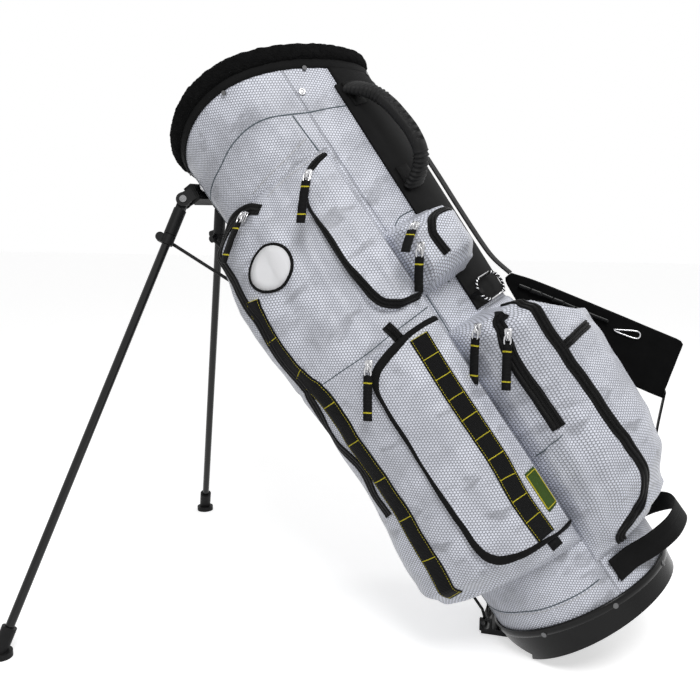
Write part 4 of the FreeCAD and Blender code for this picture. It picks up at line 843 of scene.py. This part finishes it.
CHEST_ZIP = [(116.5, 686), (111, 684), (105, 678), (101, 669), (98, 655), (95.8, 635), (96.6, 616), (97, 589),
             (97, 561), (97.6, 537), (98.6, 518), (100, 500), (102, 490), (106, 482), (111, 479), (117, 477)]
APPAREL_ZIP = [(73, 677), (66, 689), (56, 691), (48, 684), (44.5, 666), (45.5, 645), (48.5, 616), (50, 588),
               (50.5, 560), (49, 530), (48.5, 497), (51.5, 465), (50, 430), (46.5, 388), (51, 357), (53, 331),
               (50.5, 300), (52, 268)]
UTILITY_EDGE = [(117, 443), (108, 444.5), (100, 442.5), (91, 436), (84.5, 427), (81, 413), (80.2, 392), (80.3, 350),
                (79.8, 306), (80.4, 268), (80.6, 231), (80.8, 202), (81.6, 182), (84, 168), (88, 159.5), (94, 155.5),
                (101, 153), (108, 150.5), (117, 148)]
BALL_ZIP_NEAR = [(137, 404), (133.4, 396), (131, 367), (130.6, 340), (130.8, 308), (130.8, 281), (131, 255)]
BALL_ZIP_CURVED = [(145, 410), (143.6, 396), (143, 371), (143, 347), (143.2, 320), (143.5, 297), (144, 273),
                   (144, 240), (144.2, 215), (145.2, 195), (146.5, 175), (147, 155), (147, 138), (146, 127),
                   (142.5, 119), (137.5, 113), (134.5, 104), (135, 92)]
BALL_ZIP_CROSS = [(142.8, 333), (151, 336), (158, 337)]
POUCH_ZIP = [(132, 500), (131.5, 518), (131.5, 531), (134, 543), (139, 548), (145, 546)]
LADDER_LINE = [(56, 588), (53.8, 556), (53.2, 525), (53.8, 494), (56.6, 466), (59.4, 440), (59.6, 402), (60.3, 354),
               (60.8, 301), (62, 248), (62, 197), (61, 146)]


def make_zips():
    options = {"slot": "webbing"}
    ribbon("chest_zip", CHEST, CHEST_ZIP, 12.0, ZIP_BAND, ZIP, **options)
    ribbon("apparel_zip", APPAREL, [(angle + NEAR_ZIP_SHIFT, s) for angle, s in APPAREL_ZIP],
           NEAR_ZIP_TAPE, ZIP_BAND, ZIP, **options)
    ribbon("far_apparel_zip", APPAREL, [(360 - a, s) for a, s in APPAREL_ZIP], ZIP_TAPE, ZIP_BAND, ZIP, **options)
    ribbon("utility_binding", UTILITY, UTILITY_EDGE, 11.0, PIPING, BLACK, slot="black_fabric")
    ribbon("ball_zip_near", BALL, BALL_ZIP_NEAR, 15.0, ZIP_BAND, ZIP, **options)
    ribbon("ball_zip_curved", BALL, BALL_ZIP_CURVED, 14.0, ZIP_BAND, ZIP, **options)
    ribbon("ball_zip_cross", BALL, BALL_ZIP_CROSS, 11.0, ZIP_BAND, ZIP, **options)
    ribbon("pouch_zip", POUCH, POUCH_ZIP, 11.0, ZIP_BAND, ZIP, **options)
    ribbon("utility_zip_end", APPAREL, [(97, 468), (98.5, 446)], 13.0, ZIP_BAND, ZIP, **options)


def make_seams():
    """Sewn seams of the fabric: dark thread sunk between panels, pale rows of stitches beside them."""
    arch = [(28, 751), (44, 754), (55, 757), (65, 760), (76, 767), (87, 770), (96, 769), (104, 764), (113, 754),
            (122, 744), (131, 738), (143, 731)]
    ribbon("seam_arch", BODY, arch, 2.2, STITCH, SEAM, lift=0.0, slot="webbing")
    back = [(114, 751), (114.4, 729), (115.2, 697), (116, 660), (117.2, 610), (118.4, 570), (119.8, 540), (121.2, 507),
            (121.6, 470), (121, 420)]
    ribbon("seam_back", BODY, back, 2.2, STITCH, SEAM, lift=0.0, slot="webbing")
    ribbon("seam_slant", APPAREL, [(60, 451), (72, 451.5), (84, 452), (96, 455.5), (108, 458), (117, 460)], 1.8, STITCH,
           SEAM, lift=0.0, slot="webbing")
    low = [(24, 82), (43, 75.5), (63, 70), (79, 65.5), (93, 63.5), (105, 63), (116, 64.5)]
    ribbon("seam_low", BODY, low, 2.0, STITCH, SEAM, lift=0.0, slot="webbing")
    ribbon("seam_low_edge", BODY, [(angle, s - 3.5) for angle, s in low], 1.2, STITCH, PALE_SEAM, lift=0.0,
           slot="webbing")
    ribbon("pocket_top_stitch", APPAREL, [(80, 686), (88, 689.5), (98, 691), (109, 692), (116, 692)], 1.4, STITCH,
           PALE_SEAM, lift=0.0, slot="webbing")
    ribbon("pocket_hem_stitch", BODY, [(72, 704), (85, 707), (100, 711), (114, 718)], 1.4, STITCH, PALE_SEAM, lift=0.0,
           slot="webbing")
    ribbon("ball_seam", BALL, [(121.5, 236), (126, 240), (130.5, 246)], 1.6, STITCH, SEAM, lift=0.0, slot="webbing")
    ribbon("pouch_seam", BODY, [(143, 574), (133, 573.5), (127, 564), (124.4, 549), (123.4, 525), (124.5, 508),
                                (130, 486), (138, 472)], 2.0, STITCH, SEAM, lift=0.0, slot="webbing")
    for angle in (FRONT_SEAM, 360 - FRONT_SEAM, 360 - BACK_SEAM):
        ribbon(f"seam_{int(angle)}", BODY, [(angle, rim_height(angle) + 2), (angle, mouth_height(angle) - 2)], 2.2,
               STITCH, SEAM, lift=0.0, slot="webbing")


def make_webbing():
    ribbon("front_ladder", APPAREL, LADDER_LINE, WEBBING, FLAT_BAND, SIDE_LADDER, replaces=("side_webbing",),
           slot="webbing")
    middle = [(105.6, 436), (105, 380), (105, 322), (105, 262), (103.8, 210), (104.4, 158)]
    ribbon("pocket_ladder", UTILITY, middle, WEBBING, FLAT_BAND, LADDER, replaces=("pocket_webbing",), slot="webbing")
    ribbon("pocket_ladder_end", APPAREL, [(105.5, 148), (106, 134)], 15.0, FLAT_BAND, PLAIN_WEB, slot="webbing")


def make_patches():
    """Bare round patch with a black merrowed edge, and a plain green label with a yellow edge."""
    centre_angle, centre_s = 69.0, 607.0
    mm_per_degree = math.radians(1) * (body_radius(centre_s) + apparel_offset(centre_angle, centre_s))
    for name, rings, material, extra in (
            ("patch_disc", ((0.0, 1.6), (9.0, 1.6), (18.0, 1.6), (26.5, 1.5), (26.5, 0.2)), PATCH_WHITE,
             {"replaces": ("round_patch",)}),
            ("patch_edge", ((26.0, 0.6), (26.6, 2.0), (28.2, 2.4), (29.4, 1.8), (29.8, 0.4)), BLACK, {})):
        points, uvs, count = [], [], 48
        for ring_radius, height in rings:
            for k in range(count):
                turn = 2 * math.pi * k / count
                across, along = ring_radius * math.cos(turn), ring_radius * math.sin(turn)
                angle, s = centre_angle + across / mm_per_degree, centre_s + along
                points.append(APPAREL.point(angle, s) + APPAREL.normal(centre_angle, centre_s) * (height + 0.4))
                uvs.append((across * MM, along * MM))
        faces = grid_faces(count, len(rings) - 1, closed=True)
        if name == "patch_edge":
            faces += closing_faces(count, len(rings))
        else:
            faces.append(tuple((len(rings) - 1) * count + k for k in range(count)))
        make_mesh(name, points, faces, material, uvs, slot="patch", **extra)
    ribbon("label_cloth", UTILITY, [(113.2, 231), (113.2, 179)], 19.0, FLAT_BAND, LABEL_GREEN, replaces=("side_label",),
           slot="label")
    for name, stops in (("label_edge_a", [(110.6, 228), (110.6, 182)]), ("label_edge_b", [(115.8, 228), (115.8, 182)]),
                        ("label_edge_c", [(110.6, 228), (115.8, 228)]), ("label_edge_d", [(110.6, 182), (115.8, 182)])):
        ribbon(name, UTILITY, stops, 1.5, STITCH, YELLOW, lift=1.8, slot="label")


# ------------------------------------------------------------------ spine side: handle, strap, grab strap
def make_handle():
    """Thick moulded grip with ribbed ends and a row of notches along its back."""
    stops = [(4, 750), (14, 741), (30, 722), (40, 700), (45, 676), (47, 652), (42, 628), (26, 612), (5, 602)]
    path = curve_points([polar(152, body_radius(s) + off, s) for off, s in stops], 150)

    def section(share):
        ends = max(smooth((0.2 - share) / 0.2), smooth((share - 0.8) / 0.2))
        thick, wide = 16.0 - 3.0 * ends, 21.0 + 13.0 * ends
        ribbed = share < 0.3 or share > 0.74
        rib = 1.3 * math.sin(share * 205) if ribbed else 0.0
        notch = -3.2 if 0.3 < share < 0.7 and math.sin(share * 125) > 0.3 else 0.0
        ring_points = []
        for a, b in oval(thick, wide, 20, 0.8):
            grow = 1 + rib / 12
            outer_side = notch if a > thick * 0.3 and abs(b) < wide * 0.3 else 0.0
            ring_points.append((a * grow + outer_side, b * grow))
        return ring_points

    tangent_up = outward(152 + 90)
    swept("grip", path, section, RUBBER, up=tangent_up, replaces=("carry_handle",), slot="frame_plastic")
    for name, s in (("grip_tab_top", 742), ("grip_tab_low", 614)):
        extra = {"replaces": ("handle_tabs",)} if name == "grip_tab_top" else {}
        ribbon(name, BARE, [(152, s - 17), (152, s + 17)], 24.0, FLAT_BAND, PLAIN_WEB, lift=3.6, slot="black_fabric",
               **extra)


def make_strip_head():
    """Black cloth that carries the spine strip up to the mouth's binding."""
    start, end, foot = 146.0, 214.0, 738.0

    def sheet(lift):
        def point(u, v):
            angle = start + (end - start) * u
            s = foot + (mouth_height(angle) - 3.0 - foot) * v
            return polar(angle, body_radius(s) + lift, s), fabric_uv(angle, s)
        return point

    closed_sheet("spine_strip_head", sheet(1.9), sheet(-0.4), 30, 8, BLACK, slot="black_fabric")


def slab(name, outline_stops, width, middle, material, sag=0.0, edge=3.0, columns=12, **options):
    """A padded slab: closed outline of (x, s) stops, swept across y with rounded edges and a slight sag."""
    loop = curve_points([(x, 0, s) for x, s in outline_stops + outline_stops[:1]], 120)[:-1]
    centre = sum(loop, Vector()) / len(loop)
    rows = [(-1.0, 0.72), (-0.97, 0.9), (-0.85, 0.985), (-0.5, 1.0), (0, 1.0), (0.5, 1.0), (0.85, 0.985), (0.97, 0.9),
            (1.0, 0.72)]
    points, uvs = [], []
    for across, share in rows:
        y = middle + across * width / 2
        for k, point in enumerate(loop):
            inset = (1 - share) * edge * 4
            radial = point - centre
            flat = centre + radial * (1 - inset / max(radial.length, 1))
            drop = sag * (1 - across * across) + 1.2 * noise.noise(point / 30 + Vector((0, across, 0)))
            points.append(Vector((flat.x + drop * 0.5, y, flat.z - drop)))
            uvs.append((across * width / 2 * MM, k * 5 * MM))
    size = len(loop)
    faces = grid_faces(size, len(rows) - 1, closed=True)
    faces.append(tuple(reversed(range(size))))
    faces.append(tuple((len(rows) - 1) * size + k for k in range(size)))
    return make_mesh(name, points, faces, material, uvs, **options)


def band_in_plane(name, stops, width, thickness, middle, material, count=60, twist=0.0, **options):
    """Webbing whose middle line runs through (x, s) stops, at y = middle, with a light twist along it."""
    path = curve_points([(x, middle, s) for x, s in stops], count)

    def section(share):
        turn = math.radians(twist * math.sin(share * math.pi))
        ring_points = []
        for a, b in oval(thickness, width, 12, 0.35):
            ring_points.append((a * math.cos(turn) - b * math.sin(turn), a * math.sin(turn) + b * math.cos(turn)))
        return ring_points

    return swept(name, path, section, material, up=Vector((0, 1, 0)), **options)


def make_strap():
    """Shoulder strap that hangs folded behind the bag."""
    outer = [(150, 440), (174, 409), (220, 341), (276, 256), (284, 243), (279, 234)]
    inner = [(230, 196), (222, 194), (178, 262), (150, 306), (137, 352), (135, 400), (138, 436)]
    pad = slab("shoulder_pad", outer + inner, 10.0, 40.0, FELT, replaces=("strap_pad",), slot="black_fabric")
    upper = [(141, 640), (140.5, 600), (139.5, 560), (139, 500), (141, 470), (148.5, 441)]
    band_in_plane("upper_webbing", upper, 36.0, 2.4, 40.0, PLAIN_WEB, replaces=("strap_upper_webbing",), slot="webbing")
    band_in_plane("lower_webbing", [(232, 196), (190, 150), (148, 96), (125.5, 88)], 24.0, 2.2, 40.0, PLAIN_WEB,
                  replaces=("strap_lower_webbing",), slot="webbing")
    lock = [(150, 421), (166, 398), (184, 371), (206, 338), (222, 315)]
    band_in_plane("lock_bar", lock, 7.0, 5.0, 33.0, BOOT, replaces=("ladder_lock",), slot="frame_plastic")
    for number, share in enumerate((0.2, 0.45, 0.7)):
        x, s = 150 + (222 - 150) * share, 421 + (315 - 421) * share
        band_in_plane(f"lock_rib_{number}", [(x - 5, s + 7), (x + 5, s - 7)], 9.0, 6.4, 33.0, BOOT, count=6,
                      slot="frame_plastic")
    corners = [(222, 302), (246, 283), (240, 276), (224, 296)]
    loop = curve_points([(x, 33.5, s) for x, s in corners + corners[:1]], 40)[:-1]
    swept("buckle_wire", loop, lambda share: oval(2.4, 2.4, 8), CHROME, closed=True,
          replaces=("strap_buckle",), slot="bright_metal")


def make_grab_strap():
    """Webbing sewn at both ends above the boot, standing off as a hand loop at the spine."""
    low, width = 62.0, 30.0
    stops = [(126, 0.8), (134, 0.8), (140, 3.5), (150, 24), (163, 40), (180, 45), (197, 40), (210, 24), (220, 3.5),
             (226, 0.8), (232, 0.8)]
    path = curve_points([polar(angle, body_radius(low) + offset + 1.7, low) for angle, offset in stops], 90)

    def section(share):
        lean = 3.0 * math.sin(share * math.pi * 2)
        return [(a + lean * b / width, b) for a, b in oval(2.4, width, 12, 0.35)]

    swept("grab_loop", path, section, PLAIN_WEB, up=Vector((0, 0, 1)), replaces=("grab_strap",), slot="webbing")
    for name, angle in (("near", 128.5), ("far", 229.5)):
        for part, stops in (("a", [(angle - 4, 50), (angle + 4, 74)]), ("b", [(angle - 4, 74), (angle + 4, 50)])):
            ribbon(f"grab_cross_{name}_{part}", BARE, stops, 1.2, STITCH, BLACK, lift=3.2, slot="webbing")


# ------------------------------------------------------------------ clip, sliders and pullers
def joint_named(name):
    return next(joint for joint in frame["joints"] if joint["name"] == name)


def node_centre(name):
    low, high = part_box(name)
    return (low + high) / 2


def world_to_bag(point):
    return (BAG.inverted() @ point) / MM


def puller_axes(pull):
    """Hinge point, hinge axis, and the way the puller hangs, in the bag frame and mm."""
    joint = joint_named(f"{pull}_swing")
    hinge = Vector(joint["pos_m"])
    axis = Vector(joint["axis"]).normalized()
    hang = node_centre(pull) - hinge
    hang = (hang - axis * hang.dot(axis)).normalized()
    turn = BAG.inverted().to_3x3()
    return world_to_bag(hinge), turn @ axis, turn @ hang


def box_parts(centre, x, y, z, size, taper=1.0):
    """A bevelled block on three axes; its outer end can taper along x."""
    length, width, height = size
    points = []
    for layer, shrink in ((-0.5, 0.86), (-0.38, 1.0), (0.38, 1.0), (0.5, 0.86)):
        for a, b in ((-1, -0.7), (-0.8, -1), (0.8, -1), (1, -0.7), (1, 0.7), (0.8, 1), (-0.8, 1), (-1, 0.7)):
            narrow = 1.0 if a < 0 else taper
            points.append(centre + x * (a * length / 2 * shrink) + y * (b * width / 2 * shrink * narrow)
                          + z * (layer * height))
    faces = grid_faces(8, 3, closed=True)
    faces.append(tuple(reversed(range(8))))
    faces.append(tuple(range(24, 32)))
    return points, faces


def tube_parts(path, radius, count=8, closed=False):
    points, faces = [], []
    total = len(path)
    for k, centre in enumerate(path):
        before = path[k - 1] if closed or k else path[0]
        after = path[(k + 1) % total] if closed or k < total - 1 else path[-1]
        tangent = (after - before).normalized()
        side = tangent.orthogonal().normalized() if k == 0 else (side - tangent * side.dot(tangent)).normalized()
        above = tangent.cross(side)
        for j in range(count):
            turn = 2 * math.pi * j / count
            points.append(centre + (side * math.cos(turn) + above * math.sin(turn)) * radius)
    faces = grid_faces(count, total - 1, closed=True)
    if closed:
        faces += closing_faces(count, total)
    else:
        faces.append(tuple(reversed(range(count))))
        faces.append(tuple((total - 1) * count + j for j in range(count)))
    return points, faces


PULLS = ("apparel_pull", "chest_pull", "pouch_pull_a", "pouch_pull_b", "utility_pull", "ball_pull_a", "ball_pull_b")


def make_pullers():
    """Chrome sliders with a wire loop, and webbing tabs with yellow bars."""
    still = []
    for pull in PULLS:
        hinge, axis, hang = puller_axes(pull)
        out = axis.cross(hang)
        if out.dot(hinge - Vector((0, 0, hinge.z))) < 0:
            out = -out
        centre = hinge - out * 5.2
        parts = [box_parts(centre - out * 0.9, hang, axis, out, (15.0, 9.6, 1.8), 0.7),
                 box_parts(centre + out * 1.7, hang, axis, out, (14.0, 9.0, 1.6), 0.65)]
        arch = [centre - hang * 5.2 + out * 2, centre - hang * 4.2 + out * 4.6, hinge + out * 1.1 - hang * 1.2,
                hinge + out * 1.3 + hang * 1.2, centre + hang * 4.2 + out * 4.6, centre + hang * 5.2 + out * 2]
        parts.append(tube_parts(arch, 1.3))
        if pull == "ball_pull_a":
            join_parts("slider_ball", parts, CHROME, body="ball_slider", replaces=("ball_zip_slider",),
                       slot="bright_metal")
        else:
            still += parts
        ring_path = []
        for k in range(20):
            turn = 2 * math.pi * k / 20
            ring_path.append(hinge + hang * (6.4 - 7.8 * math.cos(turn)) + axis * (3.9 * math.sin(turn)) + out * 0.4)
        join_parts(f"{pull}_loop", [tube_parts(ring_path, 1.0, closed=True)], CHROME, body=pull, slot="bright_metal")
        points, faces, uvs = [], [], []
        length, half, rows = SHORT_PULLS.get(pull, PULL_LENGTH), PULL_HALF_WIDTH, 28
        for row in range(rows + 1):
            run = length * row / rows
            bend = 1.3 * math.sin(run / length * 3.0) + 0.6 * noise.noise(Vector((run / 14, hinge.x, 0)))
            middle = hinge + hang * (9.5 + run) + out * bend
            for a, b in ((-1, -0.6), (-0.9, 1.0), (0.9, 1.0), (1, -0.6)):
                thick = 1.5 if row not in (0, rows) else 0.9
                points.append(middle + axis * (a * half) + out * (b * thick))
                uvs.append((a * half * MM, run * MM))
        faces = grid_faces(4, rows, closed=True)
        faces.append((3, 2, 1, 0))
        faces.append(tuple(rows * 4 + j for j in range(4)))
        make_mesh(f"{pull}_tab", points, faces, PULL_WEB, uvs, body=pull, replaces=(pull,), slot="webbing")
    join_parts("sliders", still, CHROME, replaces=("zip_sliders",), slot="bright_metal")


def make_clip():
    """Braided oval ring: two strands twisted round an oval, in a webbing loop."""
    low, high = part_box("towel_clip")
    centre = world_to_bag((low + high) / 2)
    angle = math.degrees(math.atan2(-centre.y, -centre.x))
    along, out = outward(angle + 90), outward(angle)
    above = out.cross(along)
    half, radius, count = 15.0, 15.0, 180
    middle = []
    for k in range(count):
        turn = 2 * math.pi * k / count
        shift = half if math.cos(turn) > 0 else -half
        middle.append(centre + along * (shift + radius * math.cos(turn)) + above * (radius * math.sin(turn)))
    for name, phase, material, extra in (("clip_ring", 0.0, CHROME, {"replaces": ("towel_clip",)}),
                                         ("clip_ring_dark", math.pi, BLACK, {})):
        strand = []
        for k, point in enumerate(middle):
            turn = 2 * math.pi * k / count
            radial = (along * math.cos(turn) + above * math.sin(turn)).normalized()
            wind = phase + 2 * math.pi * 16 * k / count
            strand.append(point + radial * (1.0 * math.cos(wind)) + out * (1.0 * math.sin(wind)))
        join_parts(name, [tube_parts(strand, 1.15, 8, closed=True)], material, body="clip", slot="bright_metal",
                   **extra)
    data = NODES["clip_loop"].data
    data.materials.clear()
    data.materials.append(PLAIN_WEB)


# ------------------------------------------------------------------ stage
def seen_directly(tree):
    """1 for camera, glossy and transmission rays, 0 for the others."""
    path = tree.nodes.new("ShaderNodeLightPath")
    value = path.outputs["Is Camera Ray"]
    for ray in ("Is Glossy Ray", "Is Transmission Ray"):
        either = tree.nodes.new("ShaderNodeMath")
        either.operation = "MAXIMUM"
        tree.links.new(value, either.inputs[0])
        tree.links.new(path.outputs[ray], either.inputs[1])
        value = either.outputs[0]
    return value


def make_stage():
    data = bpy.data.meshes.new("floor")
    reach = 9.0
    data.from_pydata([(-reach, -reach, 0), (reach, -reach, 0), (reach, reach, 0), (-reach, reach, 0)], [],
                     [(0, 1, 2, 3)])
    floor = bpy.data.objects.new("floor", data)
    bpy.context.scene.collection.objects.link(floor)
    material = bpy.data.materials.new("floor")
    material.use_nodes = True
    tree = material.node_tree
    bsdf = tree.nodes["Principled BSDF"]
    bsdf.inputs["Base Color"].default_value = (0.86, 0.86, 0.86, 1)
    bsdf.inputs["Roughness"].default_value = 0.9
    seen = seen_directly(tree)
    lift = tree.nodes.new("ShaderNodeMath")
    lift.operation = "MULTIPLY"
    lift.inputs[1].default_value = FLOOR_GLOW
    tree.links.new(seen, lift.inputs[0])
    bsdf.inputs["Emission Color"].default_value = (1, 1, 1, 1)
    tree.links.new(lift.outputs[0], bsdf.inputs["Emission Strength"])
    data.materials.append(material)
    world = bpy.data.worlds.new("world")
    bpy.context.scene.world = world
    world.use_nodes = True
    tree = world.node_tree
    background = tree.nodes["Background"]
    background.inputs["Color"].default_value = (1, 1, 1, 1)
    scale = tree.nodes.new("ShaderNodeMath")
    scale.operation = "MULTIPLY_ADD"
    scale.inputs[1].default_value = WORLD_SEEN
    scale.inputs[2].default_value = WORLD_LIGHT
    tree.links.new(seen_directly(tree), scale.inputs[0])
    tree.links.new(scale.outputs[0], background.inputs["Strength"])


def area_light(name, position, target, size, power):
    data = bpy.data.lights.new(name, "AREA")
    data.shape = "DISK"
    data.size = size
    data.energy = power
    lamp = bpy.data.objects.new(name, data)
    bpy.context.scene.collection.objects.link(lamp)
    lamp.location = position
    lamp.rotation_euler = (Vector(target) - Vector(position)).to_track_quat("-Z", "Y").to_euler()


def make_lights_and_camera():
    target = Vector(CAMERA_TARGET) * MM
    area_light("key", (0.5, -1.6, 2.3), target, 1.0, 34.0)
    area_light("rim", (1.2, 1.0, 1.6), target, 0.8, 7.0)
    azimuth, elevation = math.radians(CAMERA_AZIMUTH), math.radians(CAMERA_ELEVATION)
    back = Vector((math.sin(azimuth) * math.cos(elevation), -math.cos(azimuth) * math.cos(elevation),
                   math.sin(elevation)))
    data = bpy.data.cameras.new("camera")
    data.lens = CAMERA_LENS
    data.sensor_width = 36.0
    camera = bpy.data.objects.new("camera", data)
    bpy.context.scene.collection.objects.link(camera)
    camera.location = target + back * CAMERA_DISTANCE * MM
    camera.rotation_euler = (-back).to_track_quat("-Z", "Y").to_euler()
    bpy.context.scene.camera = camera
    bpy.context.scene.view_settings.view_transform = "Standard"


dress_frame()
make_skin()
make_cuff()
make_dividers()
make_boot_lip()
make_snaps()
make_pockets()
make_zips()
make_seams()
make_webbing()
make_patches()
make_handle()
make_strip_head()
make_strap()
make_grab_strap()
make_pullers()
make_clip()
make_stage()
make_lights_and_camera()
